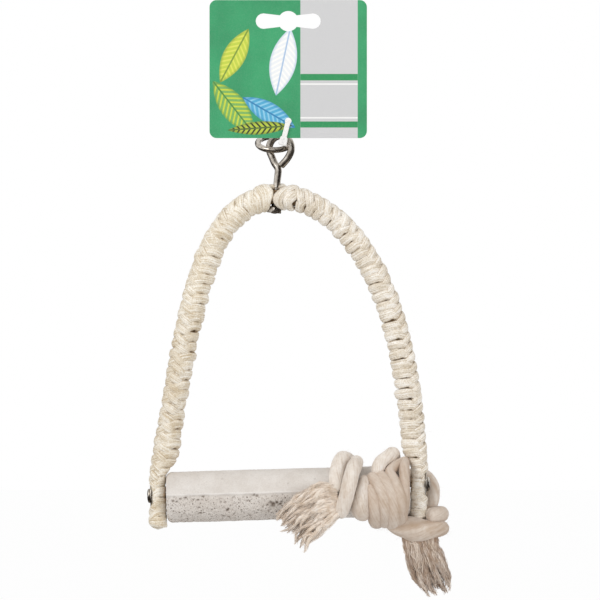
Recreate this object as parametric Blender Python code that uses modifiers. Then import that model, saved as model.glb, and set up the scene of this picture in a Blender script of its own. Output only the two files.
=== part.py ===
"""Sisal bird swing: a twine-wound arch with a mineral perch, hung from a carded ring.

Metres, +Z up, +X to the right, the viewer on the -Y side.
The origin is where a shop peg touches the top of the card's euro slot.
"""
import math

import bmesh
import bpy
from mathutils import Matrix, Vector
from mathutils.geometry import interpolate_bezier

MM = 0.001
SEAT_GAP = 0.3 * MM            # clearance between touching pieces

# Header card
CARD_WIDTH = 77.5 * MM
CARD_TOP = 5.4 * MM            # above the peg
CARD_HEIGHT = 68.0 * MM
CARD_THICKNESS = 0.6 * MM
CARD_CORNER = 3.5 * MM
SLOT_HOLE_DIAMETER = 10.0 * MM
SLOT_LENGTH = 32.0 * MM
SLOT_WING_HEIGHT = 7.6 * MM     # at the rounded wing ends
SLOT_NECK_HEIGHT = 5.7 * MM     # where the wings meet the hole
TIE_HOLE_ROOM = 0.7 * MM       # hole wider than the strap
TIE_HOLE_EDGE = 8.4 * MM       # above the card's lower edge

# Cable tie
TIE_WIDTH = 2.5 * MM
TIE_THICKNESS = 1.0 * MM
TIE_SLACK = 0.3 * MM           # round the eye, beyond the seat
TIE_HEAD_WIDTH = 4.1 * MM
TIE_HEAD_HEIGHT = 4.5 * MM
TIE_HEAD_DEPTH = 2.8 * MM
TIE_HEAD_RAISE = 0.8 * MM      # head's middle above the loop's foot

# Where the tie holds the eye's top bar, to the middle of the bar
HANG_X = -1.9 * MM
HANG_Y = 4.8 * MM
HANG_DROP = 7.6 * MM           # below the card's tie hole

# Ring
RING_DIAMETER = 16.2 * MM      # to the middle of the wire
RING_WIRE = 2.9 * MM
RING_PITCH = 26.4              # degrees, near side low
RING_TURN = -61.0              # degrees round the ring, from its right end to the eye
RING_X = -3.05 * MM            # where its near strand passes through the eye
RING_DROP = 6.1 * MM           # below the hanging point

# Eye bolt
BOLT_WIRE = 3.5 * MM
BOLT_LEAN = 6.0                # degrees, nut to the left
EYE_DIAMETER = 12.0 * MM       # to the middle of the wire
EYE_TURN = 25.0                # degrees, left limb back
EYE_SHIFT = 1.1 * MM           # eye centre beside the shank
HANG_SIDE = 2.2 * MM           # hanging point beside the eye centre
EYE_SPREAD = 25.0              # degrees past level where the limbs leave the round
EYE_LIMB = 6.0 * MM
EYE_NECK = 4.4 * MM            # from the limb to the straight shank
EYE_END_GAP = 0.2 * MM         # eye's end beside the shank
EYE_END_RAISE = 2.9 * MM       # eye's end above the neck
EYE_END_SLANT = 42.0           # degrees from upright
CROWN_DROP = 23.8 * MM         # eye centre to arch centre line
NUT_FLATS = 7.0 * MM
NUT_HEIGHT = 3.2 * MM
NUT_SEAT = 1.2 * MM            # under the cane
BOLT_TAIL = 0.4 * MM           # shank below the nut

# Arch
CROWN_X = -4.1 * MM
CORE_DIAMETER = 7.6 * MM
FOOT_THICKNESS = 3.6 * MM      # cane flattened for the screw
FOOT_FLAT_LENGTH = 24.0 * MM
FOOT_BLEND = 12.0 * MM
FOOT_SET = 2.05 * MM           # flattened cane set outwards of the arm's line
FOOT_STRAIGHT = 26.0 * MM
LEFT_FOOT_LOW = 14.2 * MM      # below the perch axis
RIGHT_FOOT_LOW = 13.1 * MM
LEFT_LEAN = 10.0               # degrees, inwards above the foot
RIGHT_LEAN = 2.75
LEFT_RISE = 73.5 * MM          # reach of the curve handles
RIGHT_RISE = 115.6 * MM
CROWN_REACH_LEFT = 39.9 * MM
CROWN_REACH_RIGHT = 16.8 * MM
GUIDE_STEPS = 40
CORE_SIDES = 12
CORE_STEP = 4.0 * MM
CORE_INSET = 1.4 * MM          # cane end inside the last turn

# Twine
TWINE_WIDTH = 4.7 * MM
TWINE_THICKNESS = 1.7 * MM
LEFT_TWINE_EXTRA = 0.3 * MM    # the left arm is wound a little thicker
TWINE_GAP = 0.3 * MM           # between turns
TWINE_SEAT = 0.55 * MM         # under the twine
TWINE_SIDES = 4
TURN_STEPS = 10
BOLT_GAP = 0.7 * MM            # twine end to bolt
NUT_GAP = 1.4 * MM             # further, on the side the nut leans to

# Perch
PERCH_LENGTH = 120.0 * MM
PERCH_DIAMETER = 25.2 * MM
PERCH_EDGE = 3.0 * MM
PERCH_RISE = 3.4 * MM          # right end above the left
PERCH_DROP = 147.0 * MM        # below the crown, at the middle
PLUG_DIAMETER = 9.0 * MM
PLUG_LENGTH = 26.0 * MM
SCREW_SHANK = 3.0 * MM
SCREW_LENGTH = 26.0 * MM
SCREW_TIP = 4.0 * MM
SCREW_HEAD_DIAMETER = 7.0 * MM
SCREW_HEAD_HEIGHT = 1.7 * MM
WASHER_DIAMETER = 13.0 * MM
WASHER_THICKNESS = 0.8 * MM
WASHER_SINK = 0.9 * MM         # bedded in the twine
LEFT_SCREW_RAISE = 1.2 * MM    # above the perch axis
RIGHT_SCREW_RAISE = 3.2 * MM

# Rope
ROPE_DIAMETER = 7.4 * MM
ROPE_SIDES = 2                 # curve bevel resolution
ROPE_STEP = 5.0 * MM
STRAND_STEP = 16.0             # degrees round the perch
TASSEL_SIDES = 10

# Worked out from the sizes above
core_radius = CORE_DIAMETER / 2
perch_radius = PERCH_DIAMETER / 2
rope_radius = ROPE_DIAMETER / 2
wrap_inner = core_radius + TWINE_SEAT
wrap_outer = wrap_inner + TWINE_THICKNESS
foot_half = FOOT_THICKNESS / 2 + TWINE_SEAT + TWINE_THICKNESS
foot_x = PERCH_LENGTH / 2 + SEAT_GAP + foot_half
washer_floor = foot_x + foot_half - WASHER_SINK
tie_hole_width = TIE_WIDTH + TIE_HOLE_ROOM
tie_hole_z = CARD_TOP - CARD_HEIGHT + TIE_HOLE_EDGE
hang = Vector((HANG_X, HANG_Y, tie_hole_z - HANG_DROP))
eye_turn = math.radians(EYE_TURN)
bolt_lean = math.radians(BOLT_LEAN)
bolt_down = Vector((-math.sin(bolt_lean), 0, -math.cos(bolt_lean)))


def eye_middle():
    """Centre of the eye, whose top bar passes through the tie at the hanging point."""
    rise = math.sqrt((EYE_DIAMETER / 2) ** 2 - HANG_SIDE ** 2)
    reach = HANG_SIDE * math.cos(eye_turn)
    back = HANG_SIDE * math.sin(eye_turn)
    return Vector((hang.x - reach, hang.y + back, hang.z - rise))


eye_centre = eye_middle()
ring_depth = eye_centre.y - (RING_X - eye_centre.x) * math.tan(eye_turn)
ring_point = Vector((RING_X, ring_depth, hang.z - RING_DROP))
shank_x = eye_centre.x - EYE_SHIFT * math.cos(eye_turn)
swing_y = eye_centre.y + EYE_SHIFT * math.sin(eye_turn)
crown_z = eye_centre.z - CROWN_DROP
perch_z = crown_z - PERCH_DROP
perch_tilt = math.asin(PERCH_RISE / PERCH_LENGTH)
left_foot_z = perch_z - PERCH_RISE / 2 - LEFT_FOOT_LOW
right_foot_z = perch_z + PERCH_RISE / 2 - RIGHT_FOOT_LOW


def new_collection(name):
    made = bpy.data.collections.new(name)
    bpy.context.scene.collection.children.link(made)
    return made


def clear_scene():
    for old in list(bpy.data.objects):
        bpy.data.objects.remove(old, do_unlink=True)


def material(name, colour, roughness, metallic=0.0):
    made = bpy.data.materials.new(name)
    made.use_nodes = True
    shader = made.node_tree.nodes["Principled BSDF"]
    shader.inputs["Base Color"].default_value = (*colour, 1.0)
    shader.inputs["Roughness"].default_value = roughness
    shader.inputs["Metallic"].default_value = metallic
    return made


def place(obj, finish=None, parent=None):
    """Put a piece in the swing's collection, with its finish and parent."""
    swing_parts.objects.link(obj)
    if finish:
        obj.data.materials.append(finish)
    if parent:
        obj.parent = parent
    return obj


def cutter(obj, parent=None):
    cutters.objects.link(obj)
    obj.hide_render = True
    obj.display_type = "WIRE"
    obj.parent = parent
    return obj


def empty(name, location, rotation=(0, 0, 0)):
    made = bpy.data.objects.new(name, None)
    made.location = location
    made.rotation_euler = rotation
    swing_parts.objects.link(made)
    return made


def mesh_object(name, bm, smooth_angle=35.0):
    bmesh.ops.recalc_face_normals(bm, faces=bm.faces)
    mesh = bpy.data.meshes.new(name)
    bm.to_mesh(mesh)
    bm.free()
    mesh.shade_smooth()
    mesh.set_sharp_from_angle(angle=math.radians(smooth_angle))
    return bpy.data.objects.new(name, mesh)


def cut(target, tool, operation="DIFFERENCE"):
    boolean = target.modifiers.new(tool.name, "BOOLEAN")
    boolean.operation = operation
    boolean.solver = "EXACT"
    boolean.object = tool


def cylinder(name, diameter, length, segments=16, axis="Z"):
    """A closed cylinder centred on its own origin."""
    bm = bmesh.new()
    turn = Matrix.Rotation(math.radians(90), 4, "Y") if axis == "X" else Matrix.Identity(4)
    bmesh.ops.create_cone(bm, cap_ends=True, segments=segments, radius1=diameter / 2,
                          radius2=diameter / 2, depth=length, matrix=turn)
    return mesh_object(name, bm)


def turned(name, profile, steps=16):
    """A profile of (radius, height) points, top to bottom, turned about Z."""
    bm = bmesh.new()
    corners = [bm.verts.new((radius, 0, height)) for radius, height in profile]
    for first, second in zip(corners, corners[1:]):
        bm.edges.new((first, second))
    mesh = bpy.data.meshes.new(name)
    bm.to_mesh(mesh)
    bm.free()
    made = bpy.data.objects.new(name, mesh)
    screw = made.modifiers.new("turn", "SCREW")
    screw.steps = steps
    screw.render_steps = steps
    screw.use_merge_vertices = True
    screw.merge_threshold = 0.00001
    screw.use_smooth_shade = True
    return made


def tube(name, points, diameter, resolution, cyclic=False):
    """A round wire or rope: a poly curve with a bevel and filled ends."""
    curve = bpy.data.curves.new(name, "CURVE")
    curve.dimensions = "3D"
    curve.bevel_depth = diameter / 2
    curve.bevel_resolution = resolution
    curve.use_fill_caps = True
    spline = curve.splines.new("POLY")
    spline.points.add(len(points) - 1)
    for slot, point in zip(spline.points, points):
        slot.co = (*point, 1.0)
    spline.use_cyclic_u = cyclic
    spline.use_smooth = True
    return bpy.data.objects.new(name, curve)


def smooth_route(points, step):
    """Points about one step apart on a smooth curve through the given points."""
    ends = [points[0] * 2 - points[1]] + list(points) + [points[-1] * 2 - points[-2]]
    route = [points[0]]
    for before, first, second, after in zip(ends, ends[1:], ends[2:], ends[3:]):
        pieces = max(1, round((second - first).length / step))
        for piece in range(1, pieces + 1):
            t = piece / pieces
            pull = (second - before) * t + (before * 2 - first * 5 + second * 4 - after) * t ** 2
            curl = (first * 3 - before - second * 3 + after) * t ** 3
            route.append(first + (pull + curl) / 2)
    return route


def arc(centre_x, centre_y, radius, start, end, steps):
    """Points of an arc, angles in degrees, both ends included."""
    points = []
    for step in range(steps + 1):
        angle = math.radians(start + (end - start) * step / steps)
        points.append((centre_x + radius * math.cos(angle), centre_y + radius * math.sin(angle)))
    return points


def add_outline(curve, points):
    spline = curve.splines.new("POLY")
    spline.points.add(len(points) - 1)
    for slot, (x, y) in zip(spline.points, points):
        slot.co = (x, y, 0, 1)
    spline.use_cyclic_u = True


# Header card

def card_outline():
    half = CARD_WIDTH / 2 - CARD_CORNER
    high = CARD_TOP - CARD_CORNER
    low = CARD_TOP - CARD_HEIGHT + CARD_CORNER
    points = arc(half, high, CARD_CORNER, 0, 90, 6)
    points += arc(-half, high, CARD_CORNER, 90, 180, 6)
    points += arc(-half, low, CARD_CORNER, 180, 270, 6)
    points += arc(half, low, CARD_CORNER, 270, 360, 6)
    return points


def euro_slot_outline():
    """A round hole with a rounded wing on each side, its top at the origin."""
    radius = SLOT_HOLE_DIAMETER / 2
    wing = SLOT_WING_HEIGHT / 2
    reach = SLOT_LENGTH / 2 - wing
    meet = math.degrees(math.asin(SLOT_NECK_HEIGHT / 2 / radius))
    points = arc(0, -radius, radius, meet, 180 - meet, 8)
    points += arc(-reach, -radius, wing, 90, 270, 8)
    points += arc(0, -radius, radius, 180 + meet, 360 - meet, 8)
    points += arc(reach, -radius, wing, -90, 90, 8)
    return points


def make_header_card():
    curve = bpy.data.curves.new("header_card", "CURVE")
    curve.dimensions = "2D"
    curve.fill_mode = "BOTH"
    curve.extrude = CARD_THICKNESS / 2
    add_outline(curve, card_outline())
    add_outline(curve, euro_slot_outline())
    add_outline(curve, arc(0, tie_hole_z, tie_hole_width / 2, 0, 345, 23))
    card = bpy.data.objects.new("header_card", curve)
    card.rotation_euler = (math.radians(90), 0, 0)
    return place(card, green_card)


# Cable tie

def tie_path():
    """The strap's loop as (depth, height) from the card's tie hole, closed.

    It runs from the front through the hole, down behind the eye's top bar, under the
    bar and forward to the head below the card.
    """
    half = TIE_THICKNESS / 2
    reach = math.hypot(HANG_X, HANG_DROP)
    face = CARD_THICKNESS / 2 + SEAT_GAP + half
    chord = math.sqrt(tie_hole_width ** 2 - TIE_WIDTH ** 2) / 2
    rest = -chord + SEAT_GAP + half
    room = SEAT_GAP + TIE_SLACK + half
    deep = (BOLT_WIRE / math.cos(eye_turn) + TIE_WIDTH * math.tan(eye_turn)) / 2 + room
    tall = BOLT_WIRE / 2 + room + TIE_SLACK
    points = [(-face, rest - half), (-face / 2, rest), (face / 2, rest), (face, rest - half)]
    for angle in (45, 15, -15, -45, -75, -90):
        turn = math.radians(angle)
        points.append((hang.y + deep * math.cos(turn), -reach + tall * math.sin(turn)))
    head_depth = -CARD_THICKNESS / 2 - SEAT_GAP - TIE_HEAD_DEPTH / 2
    points.append((head_depth, -reach - tall))
    points.append((-face, -reach - tall + TIE_HEAD_HEIGHT))
    return points


def make_cable_tie():
    """A strap loop with its ratchet head, turned to lean at the hanging point."""
    path = tie_path()
    bm = bmesh.new()
    outer = []
    count = len(path)
    half_width = TIE_WIDTH / 2
    for index, (depth, height) in enumerate(path):
        before = Vector(path[index - 1])
        after = Vector(path[(index + 1) % count])
        along = (after - before).normalized()
        across = Vector((-along.y, along.x)) * TIE_THICKNESS / 2
        corners = []
        for side, face in ((-1, -1), (1, -1), (1, 1), (-1, 1)):
            corners.append(bm.verts.new((side * half_width, depth + across.x * face,
                                         height + across.y * face)))
        outer.append(corners)
    for ring, following in zip(outer, outer[1:] + outer[:1]):
        for corner in range(4):
            beside = (corner + 1) % 4
            bm.faces.new((ring[corner], ring[beside], following[beside], following[corner]))
    strap = mesh_object("cable_tie", bm)
    head_bm = bmesh.new()
    head_depth, head_height = path[-2]
    head_size = Matrix.Diagonal((TIE_HEAD_WIDTH, TIE_HEAD_DEPTH, TIE_HEAD_HEIGHT, 1.0))
    bmesh.ops.create_cube(head_bm, size=1.0, matrix=head_size)
    bmesh.ops.translate(head_bm, verts=head_bm.verts, vec=(0, head_depth, head_height + TIE_HEAD_RAISE))
    head = cutter(mesh_object("tie_head", head_bm), tie_axis)
    cut(strap, head, "UNION")
    return place(strap, white_nylon, tie_axis)


# Ring, eye bolt and nut

def make_hanger_ring():
    """A wire ring whose near strand passes through the eye."""
    pitch = math.radians(RING_PITCH)
    turn = math.radians(RING_TURN)
    radius = RING_DIAMETER / 2
    depth = Vector((0, math.cos(pitch), math.sin(pitch)))
    points = []
    for step in range(28):
        angle = turn + math.tau * step / 28
        across = math.cos(angle) - math.cos(turn)
        points.append((Vector((across, 0, 0)) + depth * (math.sin(angle) - math.sin(turn))) * radius)
    ring = tube("hanger_ring", points, RING_WIRE, 2, cyclic=True)
    ring.location = ring_point
    return place(ring, nickel)


def eye_route():
    """The eye's centre line in its own plane, from its end round to the neck."""
    right = math.radians(-EYE_SPREAD)
    round_part = arc(EYE_SHIFT, 0, EYE_DIAMETER / 2, -EYE_SPREAD, 180 + EYE_SPREAD, 16)
    drop = Vector((math.sin(right), -math.cos(right)))
    inward = Vector((-drop.x, drop.y))
    left_low = Vector(round_part[-1]) + inward * EYE_LIMB * 0.8
    neck = Vector((0, left_low.y - EYE_NECK))
    bend = interpolate_bezier(left_low, left_low + inward * EYE_NECK * 0.4,
                              neck + Vector((0, EYE_NECK * 0.45)), neck, 6)
    tip = neck + Vector((BOLT_WIRE / 2 + EYE_END_GAP, EYE_END_RAISE))
    start = Vector(round_part[0])
    slant = math.radians(EYE_END_SLANT)
    close = interpolate_bezier(tip, tip + Vector((math.sin(slant), math.cos(slant))) * EYE_NECK * 0.5,
                               start + drop * EYE_LIMB * 0.6, start, 6)
    limb = [Vector(point[:2]) for point in close[:-1]]
    return limb + [Vector(point) for point in round_part] + [Vector(point[:2]) for point in bend]


def bolt_crossing():
    """Where the leaning shank passes through the arch's centre line."""
    neck_z = eye_centre.z + eye_route()[-1].y
    return Vector((shank_x - (neck_z - crown_z) * math.tan(bolt_lean), swing_y, crown_z))


def below_crown(drop):
    """A point on the bolt's axis, this far below the arch's centre line."""
    return bolt_crossing() + bolt_down * drop


def make_eye_bolt():
    spin = Matrix.Rotation(-eye_turn, 3, "Z")
    shank = Vector((shank_x, swing_y, eye_centre.z))
    points = [shank + spin @ Vector((point.x, 0, point.y)) - hang for point in eye_route()]
    points.append(below_crown(core_radius + NUT_SEAT + NUT_HEIGHT + BOLT_TAIL) - hang)
    bolt = tube("eye_bolt", points, BOLT_WIRE, 2)
    bolt.location = hang
    return place(bolt, nickel)


def make_eye_nut():
    corner = NUT_FLATS / math.cos(math.radians(30))
    nut = cylinder("eye_nut", corner, NUT_HEIGHT, segments=6)
    nut.location = below_crown(core_radius + NUT_SEAT + NUT_HEIGHT / 2)
    nut.rotation_euler = bolt_hole.rotation_euler
    cut(nut, bolt_hole)
    return place(nut, nickel)


# Arch

def guide_knots():
    """Foot, foot top, crown, foot top and foot, each with its two curve handles."""
    left_lean = math.radians(LEFT_LEAN)
    right_lean = math.radians(RIGHT_LEAN)
    left_up = Vector((math.sin(left_lean), math.cos(left_lean)))
    right_up = Vector((-math.sin(right_lean), math.cos(right_lean)))
    short = FOOT_STRAIGHT / 4
    arm_x = foot_x - FOOT_SET
    left_end = Vector((-arm_x, left_foot_z))
    right_end = Vector((arm_x, right_foot_z))
    left_top = left_end + Vector((0, FOOT_STRAIGHT))
    right_top = right_end + Vector((0, FOOT_STRAIGHT))
    crown = Vector((CROWN_X, crown_z))
    up = Vector((0, short))
    return [
        (left_end - up, left_end, left_end + up),
        (left_top - left_up * short, left_top, left_top + left_up * LEFT_RISE),
        (crown - Vector((CROWN_REACH_LEFT, 0)), crown, crown + Vector((CROWN_REACH_RIGHT, 0))),
        (right_top + right_up * RIGHT_RISE, right_top, right_top - right_up * short),
        (right_end + up, right_end, right_end - up),
    ]


def guide_lengths(knots):
    """Distance along the guide from the left foot to each knot."""
    lengths = [0.0]
    for first, second in zip(knots, knots[1:]):
        run = interpolate_bezier(first[1], first[2], second[0], second[1], GUIDE_STEPS + 1)
        lengths.append(lengths[-1] + sum((b - a).length for a, b in zip(run, run[1:])))
    return lengths


def make_guide(knots):
    curve = bpy.data.curves.new("arch_guide", "CURVE")
    curve.dimensions = "2D"
    curve.fill_mode = "NONE"
    curve.resolution_u = GUIDE_STEPS
    curve.render_resolution_u = 0
    spline = curve.splines.new("BEZIER")
    spline.bezier_points.add(len(knots) - 1)
    for slot, (before, knot, after) in zip(spline.bezier_points, knots):
        slot.handle_left_type = "FREE"
        slot.handle_right_type = "FREE"
        slot.handle_left = (*before, 0)
        slot.co = (*knot, 0)
        slot.handle_right = (*after, 0)
    guide = cutter(bpy.data.objects.new("arch_guide", curve))
    guide.location = (0, swing_y, 0)
    guide.rotation_euler = (math.radians(90), 0, 0)
    return guide


def flatten_feet(bm):
    """Press both ends of a straight arch piece outwards to an oval, for the screws and washers."""
    length = guide_run[-1]
    for vert in bm.verts:
        to_end = min(vert.co.x, length - vert.co.x)
        share = min(max((to_end - FOOT_FLAT_LENGTH) / FOOT_BLEND, 0.0), 1.0)
        ease = share * share * (3 - 2 * share)
        radius = math.hypot(vert.co.y, vert.co.z)
        half = FOOT_THICKNESS / 2 + (core_radius - FOOT_THICKNESS / 2) * ease
        vert.co.y *= (half + radius - core_radius) / radius
        vert.co.y += FOOT_SET * (1 - ease)


def bend_to_arch(obj):
    """Stand a piece that is modelled straight along X on the arch guide."""
    obj.location = arch_guide.location
    obj.rotation_euler = arch_guide.rotation_euler
    bend = obj.modifiers.new("bend", "CURVE")
    bend.object = arch_guide
    bend.deform_axis = "POS_X"


def make_arch_core():
    bm = bmesh.new()
    stand = Matrix.Rotation(math.radians(90), 4, "Y")
    stand.translation = (CORE_INSET, 0, 0)
    bmesh.ops.create_circle(bm, segments=CORE_SIDES, radius=core_radius, matrix=stand)
    run = guide_run[-1] - 2 * CORE_INSET
    steps = math.ceil(run / CORE_STEP)
    bmesh.ops.spin(bm, geom=bm.edges[:], axis=(1, 0, 0), cent=(0, 0, 0), angle=0.0,
                   dvec=(run / steps, 0, 0), steps=steps)
    bmesh.ops.holes_fill(bm, edges=bm.edges)
    flatten_feet(bm)
    core = mesh_object("arch_core", bm)
    bend_to_arch(core)
    cut(core, bolt_hole)
    for tool in screw_holes:
        cut(core, tool)
    return place(core, cane)


def make_sisal_wrap(name, screw_run, wound_run, thickness, mirrored):
    """Twine wound from a foot to the bolt.

    At the screw the twine lies at the front, so the screw passes beside the middle
    of a turn, and the last turn ends on top of the arch.
    """
    pitch = TWINE_WIDTH + TWINE_GAP
    last = wound_run - TWINE_WIDTH / 2
    turns = math.floor((last - screw_run) / pitch - 0.75) + 0.75
    pitch = (last - screw_run) / turns
    first = TWINE_WIDTH / 2
    all_turns = (last - first) / pitch
    steps = math.ceil(all_turns * TURN_STEPS)
    start = math.radians(90) - math.tau * (screw_run - first) / pitch
    bm = bmesh.new()
    section = []
    for side in range(TWINE_SIDES + 1):
        angle = math.pi * side / TWINE_SIDES
        radius = wrap_inner + thickness * math.sin(angle)
        along = first + TWINE_WIDTH / 2 * math.cos(angle)
        section.append(bm.verts.new((along, radius * math.cos(start), radius * math.sin(start))))
    for corner, beside in zip(section, section[1:] + section[:1]):
        bm.edges.new((corner, beside))
    bmesh.ops.spin(bm, geom=bm.edges[:], axis=(1, 0, 0), cent=(0, 0, 0),
                   angle=math.tau * all_turns, dvec=((last - first) / steps, 0, 0), steps=steps)
    bmesh.ops.holes_fill(bm, edges=bm.edges)
    if mirrored:
        for vert in bm.verts:
            vert.co.x = guide_run[-1] - vert.co.x
    flatten_feet(bm)
    wrap = mesh_object(name, bm)
    bend_to_arch(wrap)
    side = 1 if mirrored else 0
    cut(wrap, screw_holes[side])
    cut(wrap, washer_beds[side])
    return place(wrap, sisal)


# Perch and its fasteners

def make_perch():
    perch = cylinder("perch", PERCH_DIAMETER, PERCH_LENGTH, segments=24, axis="X")
    edge = perch.modifiers.new("edge", "BEVEL")
    edge.width = PERCH_EDGE
    edge.segments = 3
    edge.limit_method = "ANGLE"
    edge.angle_limit = math.radians(60)
    for tool in plug_pockets:
        cut(perch, tool)
    return place(perch, mineral, perch_axis)


def make_plug(name, side, height):
    """A wooden plug with a pilot hole, flush with the perch's end."""
    bore = SCREW_SHANK / 2 + SEAT_GAP
    outer = PLUG_DIAMETER / 2
    plug = turned(name, [(bore, PLUG_LENGTH), (outer, PLUG_LENGTH), (outer, 0), (bore, 0),
                         (bore, PLUG_LENGTH)])
    plug.location = (side * PERCH_LENGTH / 2, 0, height)
    plug.rotation_euler = (0, math.radians(-90 * side), 0)
    return place(plug, wood, perch_axis)


def screw_profile():
    """Domed pan head, plain shank and pointed tip; height 0 is under the head."""
    head = SCREW_HEAD_DIAMETER / 2
    shank = SCREW_SHANK / 2
    dome = []
    for angle in (0, 25, 50, 75):
        turn = math.radians(angle)
        dome.append((head * math.sin(turn), SCREW_HEAD_HEIGHT * (0.4 + 0.6 * math.cos(turn))))
    return dome + [(head, SCREW_HEAD_HEIGHT * 0.4), (head, 0), (shank, 0),
                   (shank, SCREW_TIP - SCREW_LENGTH), (0, -SCREW_LENGTH)]


def make_fastener(side_name, side, height):
    """Washer bedded in the outside of the twine and a screw through the foot into the plug."""
    seat = side * (washer_floor + SEAT_GAP)
    bore = SCREW_SHANK / 2 + SEAT_GAP
    outer = WASHER_DIAMETER / 2
    washer = turned("perch_washer_" + side_name,
                    [(bore, WASHER_THICKNESS), (outer, WASHER_THICKNESS), (outer, 0), (bore, 0),
                     (bore, WASHER_THICKNESS)], steps=20)
    washer.location = (seat, 0, height)
    washer.rotation_euler = (0, math.radians(90 * side), 0)
    place(washer, nickel, perch_axis)
    screw = turned("perch_screw_" + side_name, screw_profile(), steps=12)
    screw.location = (seat + side * (WASHER_THICKNESS + SEAT_GAP), 0, height)
    screw.rotation_euler = washer.rotation_euler
    place(screw, nickel, perch_axis)


# Rope

def on_perch(inset, angle, lift):
    """A rope's centre on the perch; 0 degrees is the front, 90 the top."""
    reach = perch_radius + SEAT_GAP + rope_radius + lift * ROPE_DIAMETER
    turn = math.radians(angle)
    along = PERCH_LENGTH / 2 - inset * ROPE_DIAMETER
    return Vector((along, -reach * math.cos(turn), reach * math.sin(turn)))


def make_strand(name, route):
    """A strand laid on the perch, smoothed round the perch rather than across it."""
    stops = smooth_route([Vector(stop) for stop in route], STRAND_STEP)
    points = [on_perch(*stop) for stop in stops]
    return place(tube(name, points, ROPE_DIAMETER, ROPE_SIDES), cotton, perch_axis)


def make_bight(name, route):
    """A free bend of the rope beside the foot, its stops given from the foot's middle."""
    foot = Vector((foot_x, 0, 0))
    points = smooth_route([foot + Vector(stop) * ROPE_DIAMETER for stop in route], ROPE_STEP)
    return place(tube(name, points, ROPE_DIAMETER, ROPE_SIDES), cotton, perch_axis)


def make_tassel(name, route, widths, thicknesses):
    """A frayed end: flat oval sections lofted along a route from the perch's right end."""
    end = Vector((PERCH_LENGTH / 2, 0, 0))
    points = [end + Vector((-inset, depth, height)) * ROPE_DIAMETER for inset, depth, height in route]
    bm = bmesh.new()
    loops = []
    for index, point in enumerate(points):
        along = (points[min(index + 1, len(points) - 1)] - points[max(index - 1, 0)]).normalized()
        across = along.cross(Vector((0, 1, 0))).normalized()
        frame = Matrix((across, along.cross(across), along)).transposed().to_4x4()
        frame.translation = point
        oval = Matrix.Diagonal((widths[index], thicknesses[index], 2.0, 2.0)) * (ROPE_DIAMETER / 2)
        oval[3][3] = 1.0
        made = bmesh.ops.create_circle(bm, segments=TASSEL_SIDES, radius=1.0, matrix=frame @ oval)
        loops.append(made["verts"])
    for ring, following in zip(loops, loops[1:]):
        edges = set()
        for verts in (ring, following):
            for corner, beside in zip(verts, verts[1:] + verts[:1]):
                edges.add(bm.edges.get((corner, beside)))
        bmesh.ops.bridge_loops(bm, edges=list(edges))
    bmesh.ops.holes_fill(bm, edges=bm.edges)
    return place(mesh_object(name, bm), cotton, perch_axis)


def make_rope():
    """One cotton rope, as the strands that show; lengths are in rope diameters.

    On the perch a stop is (inset from the right end, degrees round it, lift off it).
    """
    make_strand("rope_strand_1", [(3.65, 160, 0), (3.92, 130, 0), (4.32, 90, 0), (4.76, 48, 0),
                                  (5.05, 16, 0)])
    make_strand("rope_strand_2", [(4.59, -32, 0.27), (4.3, -14, 0.59), (4.05, 6, 0.84),
                                  (3.84, 26, 0.73), (3.68, 42, 0.32), (3.57, 54, 0.07)])
    make_strand("rope_strand_3", [(3.38, 8, 0), (3.41, -6, 0), (3.47, -22, 0), (3.54, -40, 0)])
    make_strand("rope_wrap_1", [(2.41, 15, 0), (2.36, -3, 0), (2.38, -24, 0), (2.49, -52, 0)])
    make_strand("rope_wrap_2", [(1.36, 22, 0), (1.32, -3, 0), (1.34, -24, 0), (1.43, -52, 0)])
    make_strand("rope_wrap_3", [(0.32, 20, 0), (0.28, -3, 0), (0.3, -24, 0), (0.38, -46, 0)])
    make_strand("rope_bight_top", [(2.12, 46, 0.03), (1.86, 60, 0.08), (1.5, 76, 0.16),
                                   (1.19, 98, 0.11), (1.08, 124, 0.03)])
    make_bight("rope_bight_back", [(-1.22, 2.27, 0.54), (-0.34, 1.81, 0.88), (0.41, 1.53, 0.68),
                                   (0.81, 1.46, 0), (0.81, 1.46, -0.86)])
    make_bight("rope_bight_right", [(0.08, 1.43, -1.49), (1.01, 1.19, -1.49), (1.54, 0.54, -1.51),
                                    (1.14, -0.16, -1.54)])
    make_bight("rope_bight_low", [(-1.62, -0.27, -2.35), (-0.81, -0.41, -2.5), (0, -0.47, -2.55),
                                  (1.01, -0.41, -2.55), (1.57, 0.2, -2.55), (1.01, 0.95, -2.55),
                                  (0, 1.28, -2.55)])
    make_tassel("rope_tassel_left", [(5.47, -2.32, -0.27), (5.95, -2.36, -0.68),
                                     (6.69, -2.36, -1.26), (7.5, -2.3, -1.76), (8.24, -2.23, -2.16)],
                (1.49, 2.3, 2.84, 2.7, 2.03),
                (1.08, 1.15, 1.15, 0.95, 0.68))
    make_tassel("rope_tassel_right", [(-0.54, 0, -3.3), (-0.72, 0, -4.1), (-1.14, 0, -5.41),
                                      (-1.76, 0, -6.96)],
                (2.09, 2.3, 2.5, 1.82),
                (1.08, 1.22, 1.22, 0.95))


# Build

clear_scene()
swing_parts = new_collection("sisal_bird_swing")
cutters = new_collection("cutters")

green_card = material("green_card", (0.05, 0.38, 0.16), 0.45)
white_nylon = material("white_nylon", (0.85, 0.86, 0.86), 0.4)
nickel = material("nickel", (0.55, 0.53, 0.50), 0.28, 1.0)
cane = material("cane", (0.35, 0.27, 0.16), 0.7)
sisal = material("sisal", (0.78, 0.69, 0.54), 0.8)
mineral = material("mineral", (0.74, 0.70, 0.66), 0.9)
wood = material("wood", (0.55, 0.40, 0.24), 0.7)
cotton = material("cotton", (0.76, 0.68, 0.59), 0.95)

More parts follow.
